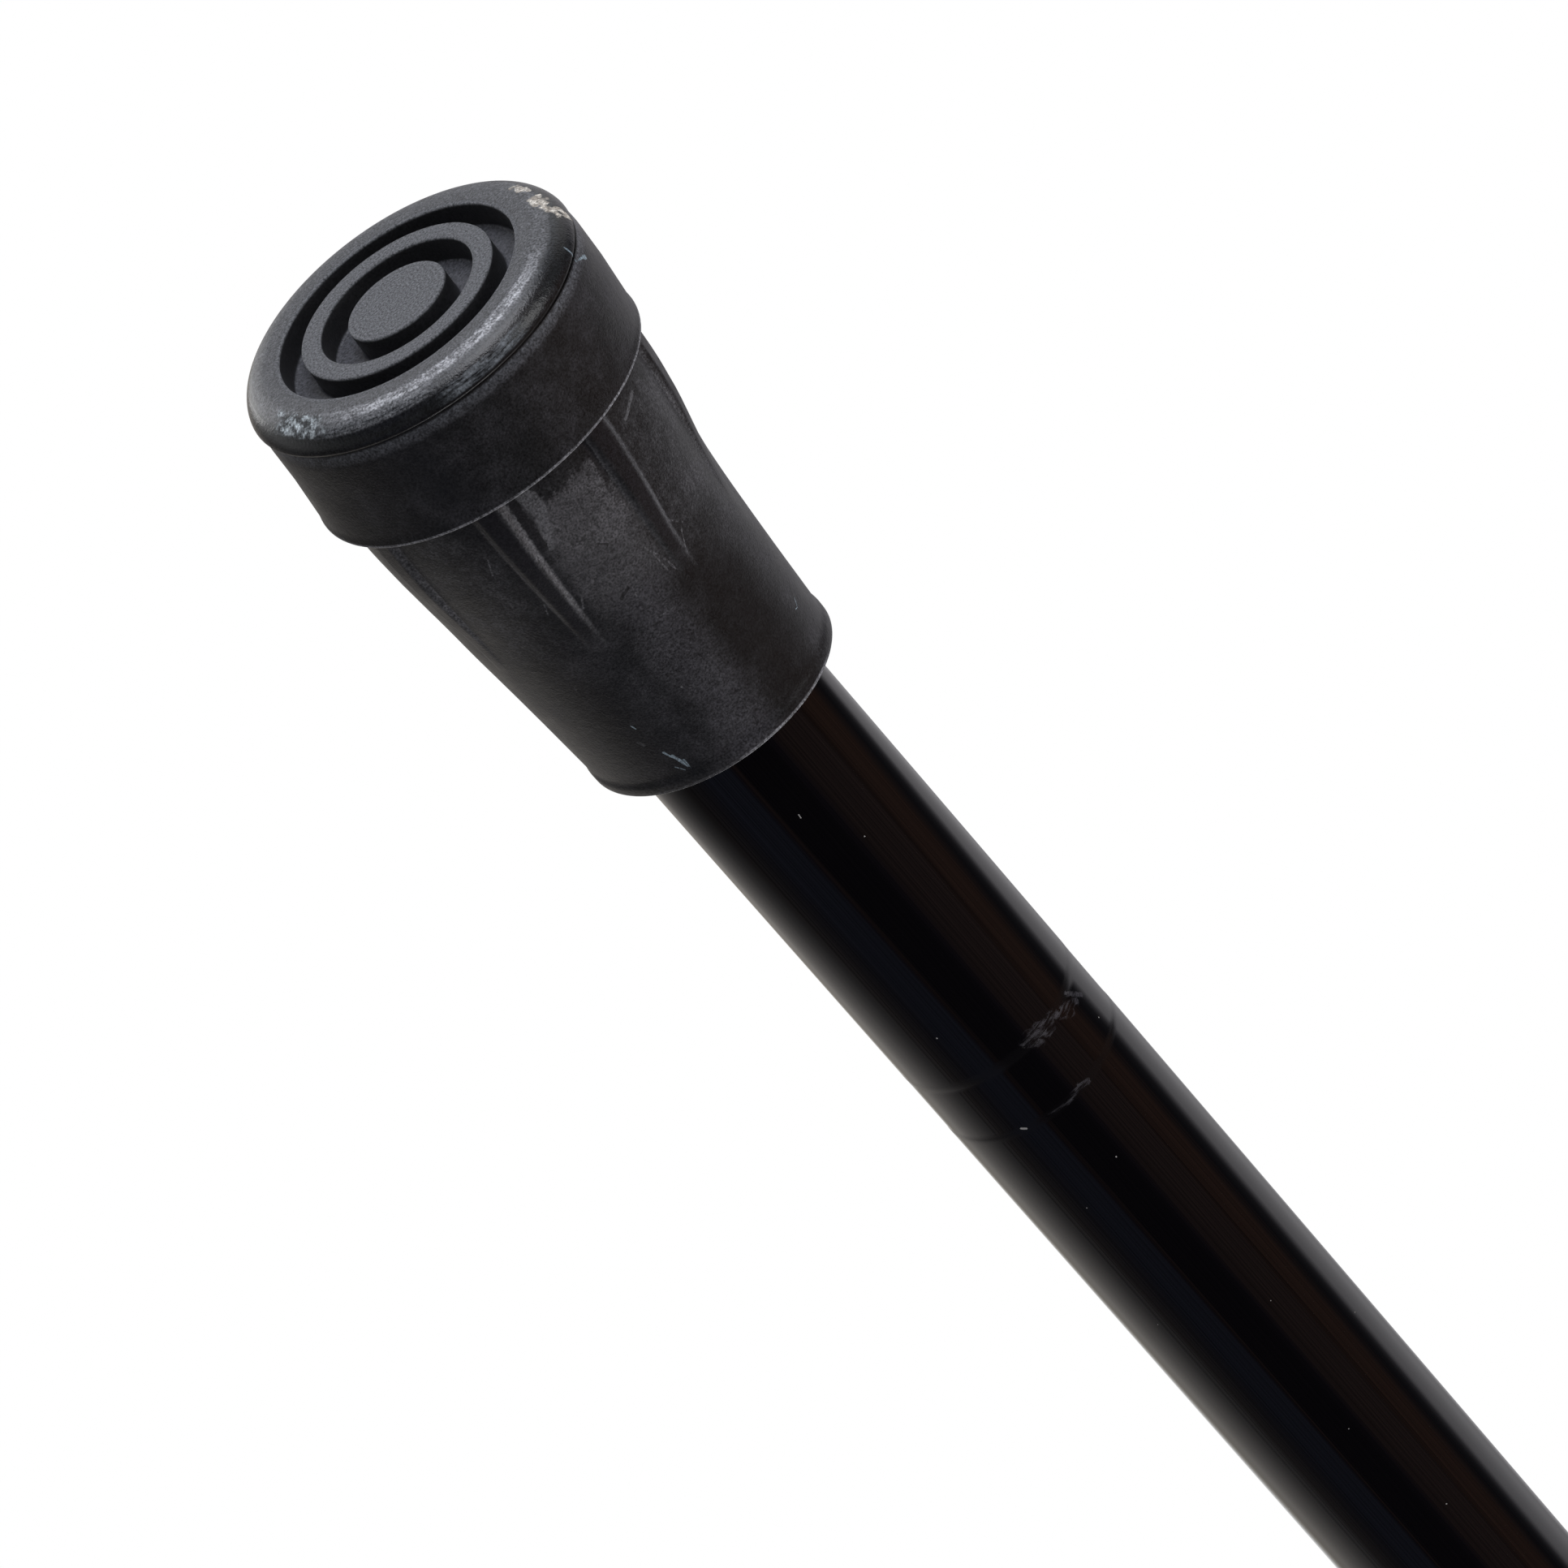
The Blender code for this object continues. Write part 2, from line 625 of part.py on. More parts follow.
def grip_cage():
    """A coarse cage for the handle: a neck, a nose to the front and a palm rest behind."""
    square = NECK_R / 0.93  # a subdivided square is this much smaller
    width = GRIP_HALF_WIDTH / 0.93
    shape = bmesh.new()
    bmesh.ops.create_cube(shape, size=1)
    low = SOCKET_DEPTH * 0.62
    high = GRIP_RISE * 1.06
    for corner in shape.verts:
        corner.co.x *= 2 * square
        corner.co.y *= 2 * width
        corner.co.z = high if corner.co.z > 0 else low
    faces = {tuple(round(c) for c in face.normal): face for face in shape.faces}
    nose, palm, neck = faces[1, 0, 0], faces[-1, 0, 0], faces[0, 0, -1]
    reach = GRIP_FRONT - square
    nose = grow(shape, nose, (reach * 0.35, 0, 0.0005), (1, 0.92, 0.86))
    nose = grow(shape, nose, (reach * 0.4, 0, -0.0035), (1, 0.86, 0.86))
    grow(shape, nose, (reach * 0.33, 0, -0.0045), (1, 0.66, 0.66))
    reach = GRIP_BACK - square
    palm = grow(shape, palm, (-reach * 0.22, 0, 0.0008), (1, 0.94, 0.86))
    palm = grow(shape, palm, (-reach * 0.3, 0, 0.0006), (1, 1.12, 0.98))
    palm = grow(shape, palm, (-reach * 0.3, 0, -0.0036), (1, 1.0, 0.94))
    grow(shape, palm, (-reach * 0.22, 0, -0.0046), (1, 0.62, 0.6))
    neck = grow(shape, neck, (0, 0, -low * 0.35), (1, square / width, 1))
    neck = grow(shape, neck, (0, 0, -low * 0.62), (1, 1, 1))
    neck = grow(shape, neck, (0, 0, -low * 0.03), (1, 1, 1))
    crease = shape.edges.layers.float.new("crease_edge")
    for edge in neck.edges:
        edge[crease] = 1
    return to_mesh(shape, "handle")


def make_handle(carrier):
    handle = piece("handle", grip_cage(), carrier, (0, 0, NECK_END), MOULDED)
    rounding = handle.modifiers.new("Round", "SUBSURF")
    rounding.levels = 2
    rounding.render_levels = 2
    socket = cylinder_mesh("socket_drill", OUTER_R + FIT, SOCKET_DEPTH * 2, middle=True)
    cut(handle, cutter("socket_drill", socket, carrier, (0, 0, NECK_END)))
    cut(handle, pin_drill(carrier, "handle_pin_drill"))
    handle.data.shade_smooth()
    pin = cylinder_mesh("handle_pin", PIN_R, 2 * NECK_R - 0.0020, 16, middle=True)
    piece("handle_pin", pin, carrier, (0, 0, PIN_Z), STEEL, (math.pi / 2, 0, 0))
    wall = OUTER_R + FIT + COLLAR_RING_WALL
    trim = [
        (wall - EDGE, 0),
        (wall, -EDGE),
        (wall, -COLLAR_RING_HEIGHT * 0.7),
        (wall - COLLAR_RING_WALL / 2, -COLLAR_RING_HEIGHT),
        (OUTER_R + FIT, -COLLAR_RING_HEIGHT),
        (OUTER_R + FIT, 0),
    ]
    turned("handle_collar", trim, carrier, NECK_END - FIT, PLASTIC)


def pivot_place(distance, degrees, mouth):
    """A fold pivot: beside the axis, level with the middle of the drawn gap."""
    angle = math.radians(degrees)
    x, y = distance * math.cos(angle), distance * math.sin(angle)
    return x, y, mouth - DRAW_GAP / 2


clear_scene()
STICK = collection("folding_walking_stick")
CUTTERS = collection("cutters")
RUBBER = finish("black_rubber", (0.045, 0.046, 0.048), 0.75)
ENAMEL = finish("black_enamel", (0.006, 0.006, 0.007), 0.12)
ALUMINIUM = finish("bare_aluminium", (0.75, 0.76, 0.77), 0.3, 1.0)
STEEL = finish("plated_steel", (0.6, 0.6, 0.6), 0.25, 1.0)
PLASTIC = finish("black_acetal", (0.02, 0.02, 0.021), 0.45)
MOULDED = finish("black_moulded_grip", (0.018, 0.018, 0.019), 0.4)
CORD = finish("black_elastic_cord", (0.03, 0.03, 0.03), 0.85)

handle_body = body("handle_body", 0, 0, NECK_END)
ring_body = body("clamp_ring_body", 0, 0, OUTER_BASE)
adjuster_body = body("adjuster_body", 0, 0, UPPER_MOUTH)
button_body = body("button_body", 0, 0, BUTTON_Z)
make_handle(handle_body)
make_outer_tube(handle_body)
make_clamp_sleeve(handle_body)
make_clamp_ring(ring_body)
make_adjusting_tube(adjuster_body)
make_spring(adjuster_body)
make_button(button_body)

upper_link = body("upper_link", 0, 0, UPPER_MOUTH)
make_joint_cord("upper", upper_link, UPPER_MOUTH)
upper_body = body("upper_middle_body", *pivot_place(UPPER_PIVOT, UPPER_FOLD_DEG, UPPER_MOUTH))
make_middle_section("upper_middle", upper_body, MIDDLE_MOUTH)

middle_link = body("middle_link", 0, 0, MIDDLE_MOUTH)
make_joint_cord("middle", middle_link, MIDDLE_MOUTH)
middle_body = body("lower_middle_body", *pivot_place(MIDDLE_PIVOT, MIDDLE_FOLD_DEG, MIDDLE_MOUTH))
make_middle_section("lower_middle", middle_body, LOWER_MOUTH)

lower_link = body("lower_link", 0, 0, LOWER_MOUTH)
make_joint_cord("lower", lower_link, LOWER_MOUTH)
lower_body = body("lower_body", *pivot_place(LOWER_PIVOT, LOWER_FOLD_DEG, LOWER_MOUTH))
make_lower_section(lower_body)

print(f"drawn length {(NECK_END + GRIP_RISE) * 1000:.1f} mm")
print(f"closed length {(NECK_END + GRIP_RISE - 3 * TRAVEL) * 1000:.1f} mm")
print(f"joint travel {TRAVEL * 1000:.1f} mm, mouths at {UPPER_MOUTH:.4f} {MIDDLE_MOUTH:.4f} {LOWER_MOUTH:.4f}")
print(f"button at {BUTTON_Z:.4f}, handle tube from {OUTER_BASE:.4f}, neck ends at {NECK_END:.4f}")
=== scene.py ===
# %% [markdown]
# # A folding walking stick, seen from under its rubber foot
#
# The stick is packed as solids that can move: four tubes on one elastic cord, a sliding handle
# tube, and a rubber foot. This lesson dresses those solids. The solids have flat facets, which
# a glossy tube would show, so each piece that shows is made again here, smooth and with its
# small roundings, in the same place. Every step says what the piece is on the real object and
# why it is made the way it is.

import math

import bmesh
import bpy
from mathutils import Matrix, Vector


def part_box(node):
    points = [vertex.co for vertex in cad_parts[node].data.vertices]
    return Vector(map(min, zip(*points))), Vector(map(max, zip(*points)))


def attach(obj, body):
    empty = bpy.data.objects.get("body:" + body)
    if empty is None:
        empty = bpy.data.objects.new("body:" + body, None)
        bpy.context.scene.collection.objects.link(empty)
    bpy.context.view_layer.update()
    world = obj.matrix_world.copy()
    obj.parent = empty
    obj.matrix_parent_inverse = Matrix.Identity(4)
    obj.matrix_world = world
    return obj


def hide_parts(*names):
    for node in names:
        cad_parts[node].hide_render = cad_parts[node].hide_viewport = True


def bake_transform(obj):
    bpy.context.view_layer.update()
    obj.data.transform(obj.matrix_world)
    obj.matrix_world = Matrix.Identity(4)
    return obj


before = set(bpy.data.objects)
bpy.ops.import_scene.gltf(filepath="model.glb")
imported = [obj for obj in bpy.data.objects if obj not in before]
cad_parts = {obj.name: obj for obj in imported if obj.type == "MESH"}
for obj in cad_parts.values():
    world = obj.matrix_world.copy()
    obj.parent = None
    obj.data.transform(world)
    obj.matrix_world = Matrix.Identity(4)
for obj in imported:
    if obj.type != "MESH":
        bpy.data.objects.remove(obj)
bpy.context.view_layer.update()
MM = 0.001

# %% [markdown]
# ## The camera
# The photograph looks up at the tread from 0.8 m away, with the lens of a portrait. The place
# and the turn come from fitting the tread's rings, the foot's mouth and both edges of the tube.
# `RIGHT`, `UP` and `AHEAD` are the picture's own directions in the stick's frame, where Z runs
# up the stick. The render is square, so the 36 mm sensor width gives both its sides.

# %% Camera at the photograph's viewing angle
IMAGE_PX = 1932
FOCAL_PX = 11271.95
SENSOR_MM = 36.0
RIGHT = Vector((-0.754712, -0.340957, 0.560498))
UP = Vector((-0.656056, 0.392562, -0.644582))
AHEAD = Vector((0.000255, 0.854192, 0.519958))

camera = bpy.data.objects.new("camera", bpy.data.cameras.new("camera"))
bpy.context.scene.collection.objects.link(camera)
camera.location = (0, -0.699101, -0.363202)
camera.rotation_euler = Matrix((RIGHT, UP, -AHEAD)).transposed().to_euler()
camera.data.sensor_width = SENSOR_MM
camera.data.lens = FOCAL_PX / IMAGE_PX * SENSOR_MM
camera.data.clip_start = 0.01
camera.data.clip_end = 60
bpy.context.scene.camera = camera
print(f"lens {camera.data.lens:.1f} mm")

# %% [markdown]
# ## Colours and nodes
# Colours are written as they look on a screen, in hex, and shaders want linear light, so one
# function turns the first into the second. Another adds a node, fills its sockets with values
# or links, and hands back one of its outputs, so that a material reads like a formula. A Map
# Range node takes its value, the two ends it comes from and the two it goes to, which are 0
# and 1 where they aren't given.


# %% Two helpers for materials
def linear(code):
    """A screen colour such as "4a4c4e" as linear red, green, blue and alpha."""
    channels = [int(code[i : i + 2], 16) / 255 for i in (0, 2, 4)]
    bent = [c / 12.92 if c <= 0.04045 else ((c + 0.055) / 1.055) ** 2.4 for c in channels]
    return (*bent, 1)


def add(tree, kind, values=(), out=0, stops=(), **settings):
    """Adds a node, sets it, gives its inputs values or links, and returns one of its outputs."""
    node = tree.nodes.new("ShaderNode" + kind)
    for name, value in settings.items():
        setattr(node, name, value)
    named = values.items() if isinstance(values, dict) else enumerate(values)
    for socket, value in named:
        if isinstance(value, bpy.types.NodeSocket):
            tree.links.new(value, node.inputs[socket])
        else:
            node.inputs[socket].default_value = value
    while stops and len(node.color_ramp.elements) < len(stops):
        node.color_ramp.elements.new(0.5)
    for i, (place, colour) in enumerate(stops):
        node.color_ramp.elements[i].position = place
        node.color_ramp.elements[i].color = colour
    return node.outputs[out] if node.outputs else node


# %% A new finish
def new_finish(name):
    """An empty material and its node tree."""
    material = bpy.data.materials.new(name)
    material.use_nodes = True
    material.node_tree.nodes.clear()
    return material, material.node_tree


# %% Settings that many nodes share
SOFT = {"interpolation_type": "SMOOTHSTEP"}
TIMES, TIMES_PLUS = {"operation": "MULTIPLY"}, {"operation": "MULTIPLY_ADD"}
PLUS, MINUS = {"operation": "ADD"}, {"operation": "SUBTRACT"}
MOST, MORE_THAN = {"operation": "MAXIMUM"}, {"operation": "GREATER_THAN"}
SCALED = {"operation": "SCALE"}
COLOURS = {"data_type": "RGBA"}

# %% [markdown]
# Where a colour or a shine belongs is said by a mask, which is 1 there and 0 elsewhere. Most
# masks here are a product of windows, such as "between these two heights and on this side".


# %% Masks
def mask(tree, *factors):
    """A product of shares and windows. A window (value, start, end, fade) is 1 between its two
    ends and fades to 0 over a width outside them."""
    total = 1.0
    for factor in factors:
        if isinstance(factor, tuple):
            value, start, end, fade = factor
            off = add(tree, "Math", (value, (start + end) / 2), **MINUS)
            off = add(tree, "Math", [off], operation="ABSOLUTE")
            half = abs(end - start) / 2
            factor = add(tree, "MapRange", (off, half + fade, half), **SOFT)
        total = add(tree, "Math", (total, factor), **TIMES)
    return total


# %% [markdown]
# ## The studio
# The stick was photographed on a white sweep, with a dark room behind the camera. Only that
# room makes a black glossy tube look black: its middle mirrors the dark, and its two sides
# mirror the white. A tube mirrors one ring of directions round itself, so the room is drawn as
# a ramp over the compass angle, with the faint brown and blue bands of the photograph. Seen
# from above, the tube mirrors a lower ring, which gets a ramp of its own with two softboxes.
# The camera itself sees plain white.

# %% What the tube mirrors in the photograph: compass angle, level and tint
BROWN, RUST = (1.4, 0.9, 0.78), (1.6, 0.86, 0.6)
BLUE, PLUM = (0.82, 0.88, 1.3), (1.2, 0.85, 1.15)
NEUTRAL = (1, 1, 1)
MIRRORED = [
    (-180, 0.42, (1, 0.98, 1.02)),
    (-168, 0.34, (1, 0.98, 1.02)),
    (-152, 0.51, (1, 0.98, 1.02)),
    (-120, 0.56, (1, 0.97, 1.02)),
    (-112, 0.14, (1, 0.95, 1.05)),
    (-107, 0.05, (1, 0.95, 1.05)),
    (-98, 0.025, (1, 0.9, 1.05)),
    (-90, 0.05, BROWN),
    (-84, 0.08, RUST),
    (-66, 0.10, RUST),
    (-60, 0.05, RUST),
    (-57, 0.09, BROWN),
    (-36, 0.085, BROWN),
    (-23, 0.075, BROWN),
    (-16, 0.035, PLUM),
    (-8, 0.016, PLUM),
    (25, 0.02, PLUM),
    (27, 0.07, BROWN),
    (30, 0.035, PLUM),
    (33, 0.085, BLUE),
    (56, 0.08, BLUE),
    (66, 0.06, (0.95, 0.9, 1.15)),
    (84, 0.10, (1.1, 0.95, 0.95)),
    (96, 0.20, (1.04, 0.99, 1)),
    (118, 0.44, (1.05, 0.99, 0.96)),
    (144, 0.58, (1.06, 1, 0.94)),
    (160, 0.38, (1.08, 1, 0.9)),
    (168, 0.55, (1.05, 1, 0.92)),
    (180, 0.85, NEUTRAL),
]

# %% What it mirrors when it stands upright and is seen from above
LEFT_SOFTBOX = [(-70, 0.14), (-66, 3.4), (-48, 3.4), (-44, 0.10)]
REAR_SOFTBOX = [(149, 0.5), (153, 3.0), (169, 3.0), (173, 0.45)]
STANDING = [(-180, 0.45), (-150, 0.6), (-120, 0.6), (-104, 0.14), (-76, 0.14), *LEFT_SOFTBOX]
STANDING += [(60, 0.10), (96, 0.25), (118, 0.5), *REAR_SOFTBOX, (180, 0.45)]
STANDING = [(degrees, level, NEUTRAL) for degrees, level in STANDING]
STANDING_FROM, STANDING_TO, STANDING_FADE = -0.49, -0.05, 0.08  # heights of a ray's direction
print("stops in the two rings:", len(MIRRORED), "and", len(STANDING))

# %% [markdown]
# No real room is as smooth as a ramp. In the photograph the bands stand further apart towards
# the picture's lower end, so the compass angle is spread with the height of the mirrored ray.
# Thin slats break the bands up, but only behind the camera, and a dark flag stands low down on
# the right.


# %% A ring on the compass
def ring_round(tree, angle, ring):
    """A colour ramp once round the compass."""
    share = add(tree, "MapRange", (angle, -math.pi, math.pi))
    stops = [((d + 180) / 360, (*(level * c for c in tint), 1)) for d, level, tint in ring]
    return add(tree, "ValToRGB", [share], stops=stops)


# %% The ring of the photograph: spread, slatted and flagged
SPREAD = (0.47, 0.65, 0.9, 1.17)  # between these two heights, by these factors
SLATS = {"Scale": 36.0, "Detail": 4.0, "Roughness": 0.7}
SLATS_REACH = 1.6  # radians on either side of the camera
FLAG_AT, FLAG_FADES_FROM, FLAG_FULL_TO = 2.1, 0.8, 0.5  # radians
FLAG_LIFTS = (0.41, 0.52, 0.25, 1.0)  # between these two heights, from dark to clear


def photographed_ring(tree, compass, rise):
    spread = add(tree, "MapRange", (rise, *SPREAD))
    ring = ring_round(tree, add(tree, "Math", (compass, spread), **TIMES), MIRRORED)
    slats = add(tree, "TexNoise", {"W": compass, **SLATS}, noise_dimensions="1D")
    slats = add(tree, "MapRange", (slats, 0.4, 0.6, 0.5, 1.5))
    off = add(tree, "Math", [compass], operation="ABSOLUTE")
    behind = add(tree, "Math", (off, SLATS_REACH), operation="LESS_THAN")
    slats = add(tree, "Mix", {0: behind, 2: 1.0, 3: slats})
    off = add(tree, "Math", [add(tree, "Math", (compass, FLAG_AT), **MINUS)], operation="ABSOLUTE")
    right = add(tree, "MapRange", (off, FLAG_FADES_FROM, FLAG_FULL_TO))
    flag = add(tree, "MapRange", (rise, *FLAG_LIFTS))
    flag = add(tree, "Mix", {0: right, 2: 1.0, 3: flag})
    for share in (slats, flag):
        ring = add(tree, "VectorMath", {0: ring, 3: share}, **SCALED)
    return ring


# %% A white sweep in front, a dark room behind
ROOM_FILL = 0.55  # what matt surfaces get from all round


def make_room():
    """White for the camera, the rings for glossy rays, and a soft fill for the rest."""
    world = bpy.data.worlds.new("white_sweep_and_dark_room")
    bpy.context.scene.world = world
    world.use_nodes = True
    tree = world.node_tree
    tree.nodes.clear()
    way = add(tree, "TexCoord", out="Generated")
    parts = add(tree, "SeparateXYZ", [way]).node.outputs
    rise = parts["Z"]
    forward = add(tree, "Math", (parts["Y"], -1.0), **TIMES)
    compass = add(tree, "Math", (parts["X"], forward), operation="ARCTAN2")
    upper = photographed_ring(tree, compass, rise)
    lower = ring_round(tree, compass, STANDING)
    from_above = mask(tree, (rise, STANDING_FROM, STANDING_TO, STANDING_FADE))
    seen = add(tree, "Mix", {0: from_above, 6: upper, 7: lower}, 2, **COLOURS)
    mirrored = add(tree, "Background", [seen])
    soft = add(tree, "Background", (linear("e8eaee"), ROOM_FILL))
    white = add(tree, "Background", [(1, 1, 1, 1)])
    ray = add(tree, "LightPath").node.outputs
    lit = add(tree, "MixShader", (ray["Is Glossy Ray"], soft, mirrored))
    clear = add(tree, "Math", (ray["Is Camera Ray"], ray["Is Transmission Ray"]), **MOST)
    add(tree, "OutputWorld", [add(tree, "MixShader", (clear, lit, white))])
    return world


print("room:", len(make_room().node_tree.nodes), "nodes")
bpy.context.scene.view_settings.view_transform = "Standard"


# %% [markdown]
# ## Lamps
# One broad softbox hangs over the camera in the photograph's own sense of up, which lies below
# the foot in the stick's frame. It lights the tread and draws the long highlight on its worn
# rim. The others keep the stick readable from every side when it stands upright.


# %% Softboxes, each aimed at a point
def softbox(name, place, target, size, watts, colour="ffffff", mirrored=False):
    """A rectangular lamp; only a mirrored one shows in glossy pieces."""
    data = bpy.data.lights.new(name, "AREA")
    data.shape = "RECTANGLE"
    data.size, data.size_y = size
    data.energy = watts
    data.color = linear(colour)[:3]
    lamp = bpy.data.objects.new(name, data)
    bpy.context.scene.collection.objects.link(lamp)
    lamp.location = place
    lamp.rotation_euler = (Vector(place) - Vector(target)).to_track_quat("Z", "Y").to_euler()
    lamp.visible_camera = False
    lamp.visible_glossy = mirrored
    return lamp


FOOT = Vector((0, 0, 0.02))
BELOW_FOOT = Vector((-0.35, -0.1, -0.93)) * 1.3
softbox("key_over_camera", FOOT + BELOW_FOOT, FOOT, (1.1, 0.9), 14, "f6f8ff", mirrored=True)
softbox("overhead", (-0.9, -1.2, 2.6), (0, 0, 0.6), (1.6, 1.6), 45)
softbox("left_fill", (-2.2, -0.9, 1.0), (0, 0, 0.5), (1.0, 1.8), 26)
softbox("right_back", (1.4, 2.4, 1.3), (0, 0, 0.5), (1.0, 1.8), 52)
softbox("straight_above", (0.1, -0.1, 2.4), (0, 0, 0.9), (1.0, 1.0), 16, mirrored=True)

# %% [markdown]
# ## The floor
# The floor lies just under the foot. It is pale from above and keeps the stick's shadow, and
# away from the stick it fades to the white of the sweep, so that no horizon shows. The
# photograph looks up from beneath it, so its underside lets light and the view through. The
# lamp under the floor would look like chrome in the tubes when they are seen from the top, so
# what they mirror steeply downwards is a plain grey card in the floor.


# %% The floor's paint
SWEEP_FROM, SWEEP_TO = 0.35, 1.1  # metres from the stick
STEEP = 0.8  # a ray is steep when it meets the floor nearer to the stick than 0.8 of its length
CARD_FROM = 0.06  # metres; the foot's own skin, nearer than this, mirrors no card
CARD_GREY = (0.3, 0.3, 0.3, 1)


def floor_paint():
    """Pale, white far out, clear from below, and a grey card for steep mirrored rays."""
    paint, tree = new_finish("pale_floor")
    place = add(tree, "TexCoord", out="Object")
    reach = add(tree, "VectorMath", [place], "Value", operation="LENGTH")
    away = add(tree, "MapRange", (reach, SWEEP_FROM, SWEEP_TO), **SOFT)
    pale = add(tree, "BsdfDiffuse", [linear("f2f2f2")])
    white = add(tree, "Emission", [(1, 1, 1, 1)])
    sweep = add(tree, "MixShader", (away, pale, white))
    clear = add(tree, "BsdfTransparent")
    ray = add(tree, "LightPath").node.outputs
    steep = add(tree, "Math", (reach, ray["Ray Length"]), operation="DIVIDE")
    steep = add(tree, "Math", (steep, STEEP), operation="LESS_THAN")
    far = add(tree, "Math", (ray["Ray Length"], CARD_FROM), **MORE_THAN)
    card = (mask(tree, steep, far), clear, add(tree, "Emission", [CARD_GREY]))
    card = add(tree, "MixShader", card)
    seen = add(tree, "MixShader", (ray["Is Glossy Ray"], sweep, card))
    under = add(tree, "NewGeometry", out="Backfacing")
    add(tree, "OutputMaterial", [add(tree, "MixShader", (under, seen, clear))])
    return paint


# %% The floor
FLOOR_BELOW, FLOOR_R = -1.3 * MM, 4.0


def plain_object(name, shape):
    """An object of a bmesh, at the origin, unturned and unscaled."""
    mesh = bpy.data.meshes.new(name)
    shape.to_mesh(mesh)
    shape.free()
    made = bpy.data.objects.new(name, mesh)
    bpy.context.scene.collection.objects.link(made)
    return made


def make_floor():
    shape = bmesh.new()
    bmesh.ops.create_circle(shape, cap_ends=True, segments=64, radius=FLOOR_R)
    bmesh.ops.translate(shape, verts=shape.verts, vec=(0, 0, FLOOR_BELOW))
    floor = plain_object("floor", shape)
    floor.data.materials.append(floor_paint())
    floor.visible_shadow = floor.visible_diffuse = False
    return floor


make_floor()
print(f"floor {-FLOOR_BELOW / MM:.1f} mm below the stick")

# %% [markdown]
# ## Turned pieces
# Most of the stick is round, so one function makes its pieces: a wire outline in the plane of
# X and Z, its corners rounded by a vertex bevel, spun about Z. An outline runs up the outside
# and down the inside, in millimetres above the piece's own base, and each corner may have a
# radius. Long straight runs get extra points, so that a surface can be bent or dented later.


# %% A wire from an outline
FINE_ROUNDING = 1.0  # mm; a smaller rounding needs fewer steps
FEW_STEPS, MANY_STEPS = 4, 10


def wire(outline, base, run):
    """A bmesh wire from (radius, height, rounding) corners, with long runs subdivided."""
    shape = bmesh.new()
    corners = [shape.verts.new((p[0] * MM, 0, base + p[1] * MM)) for p in outline]
    closed = outline[0][0] > 0 or outline[-1][0] > 0
    for pair in zip(corners, corners[1:] + corners[:1] if closed else corners[1:]):
        shape.edges.new(pair)
    for corner, point in zip(corners, outline):
        if len(point) > 2 and point[2] > 0:
            bmesh.ops.bevel(
                shape,
                geom=[corner],
                affect="VERTICES",
                offset=point[2] * MM,
                offset_type="OFFSET",
                segments=FEW_STEPS if point[2] < FINE_ROUNDING else MANY_STEPS,
                profile=0.5,
                material=-1,
            )
    if run:
        for edge in list(shape.edges):
            cuts = int(edge.calc_length() / (run * MM))
            if cuts:
                bmesh.ops.subdivide_edges(shape, edges=[edge], cuts=cuts)
    return shape


# %% The wire spun once round
ROUND_Z = {"cent": (0, 0, 0), "axis": (0, 0, 1)}


def spun(outline, base=0.0, steps=96, run=0):
    """A closed shell from an outline; base is its lower end's height in metres."""
    shape = wire(outline, base, run)
    edge = shape.verts[:] + shape.edges[:]
    bmesh.ops.spin(shape, geom=edge, angle=math.tau, steps=steps, use_merge=True, **ROUND_Z)
    bmesh.ops.remove_doubles(shape, verts=shape.verts, dist=1e-7)
    bmesh.ops.recalc_face_normals(shape, faces=shape.faces)
    return shape


# %% [markdown]
# A finished piece rides on one body of the stick and stands for the solids that it hides. It
# is shaded smooth, with sharp edges where two faces meet at more than 38 degrees. A drilled
# hole or a socket is cut with a Boolean.


# %% Finished pieces
SHARP_ANGLE = math.radians(38)


def piece(name, shape, material, rides, slot, *stands_for):
    """Turns a bmesh into a finished piece that rides on a body in place of its solids."""
    made = plain_object(name, shape)
    mesh = made.data
    mesh.shade_smooth()
    mesh.set_sharp_from_angle(angle=SHARP_ANGLE)
    mesh.materials.append(material)
    if rides:
        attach(made, rides)
    if stands_for:
        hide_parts(*stands_for)
    print(f"{name}: {len(mesh.polygons)} faces")
    return made


# %% Cutting
def bake(made):
    """Makes what the modifiers show the piece's own mesh."""
    graph = bpy.context.evaluated_depsgraph_get()
    mesh = bpy.data.meshes.new_from_object(made.evaluated_get(graph))
    made.modifiers.clear()
    mesh.name = made.data.name
    made.data = mesh


def carve(made, cutters):
    """Cuts bmesh cutters out of a piece."""
    for shape in cutters:
        tool = plain_object("cutter", shape)
        step = made.modifiers.new("carve", "BOOLEAN")
        step.object = tool
        step.solver = "EXACT"
        bake(made)
        bpy.data.objects.remove(tool)
    made.data.set_sharp_from_angle(angle=SHARP_ANGLE)
    return made


# %% [markdown]
# ## The rubber foot
# A steel mould gives the foot its parts: a round boss and a ring that stand in deep grooves
# for grip, a rim with a big rounding, a thin groove where the mould parts, a heavy collar with
# a thin flash at its edge, a tapered sleeve with eight ribs, and a lip at its mouth. It is
# spun in spans, eight times a rib and the panel beside it, so that the mesh has its own fine
# steps along both flanks of every rib. The points of the ribs are then moved outwards.

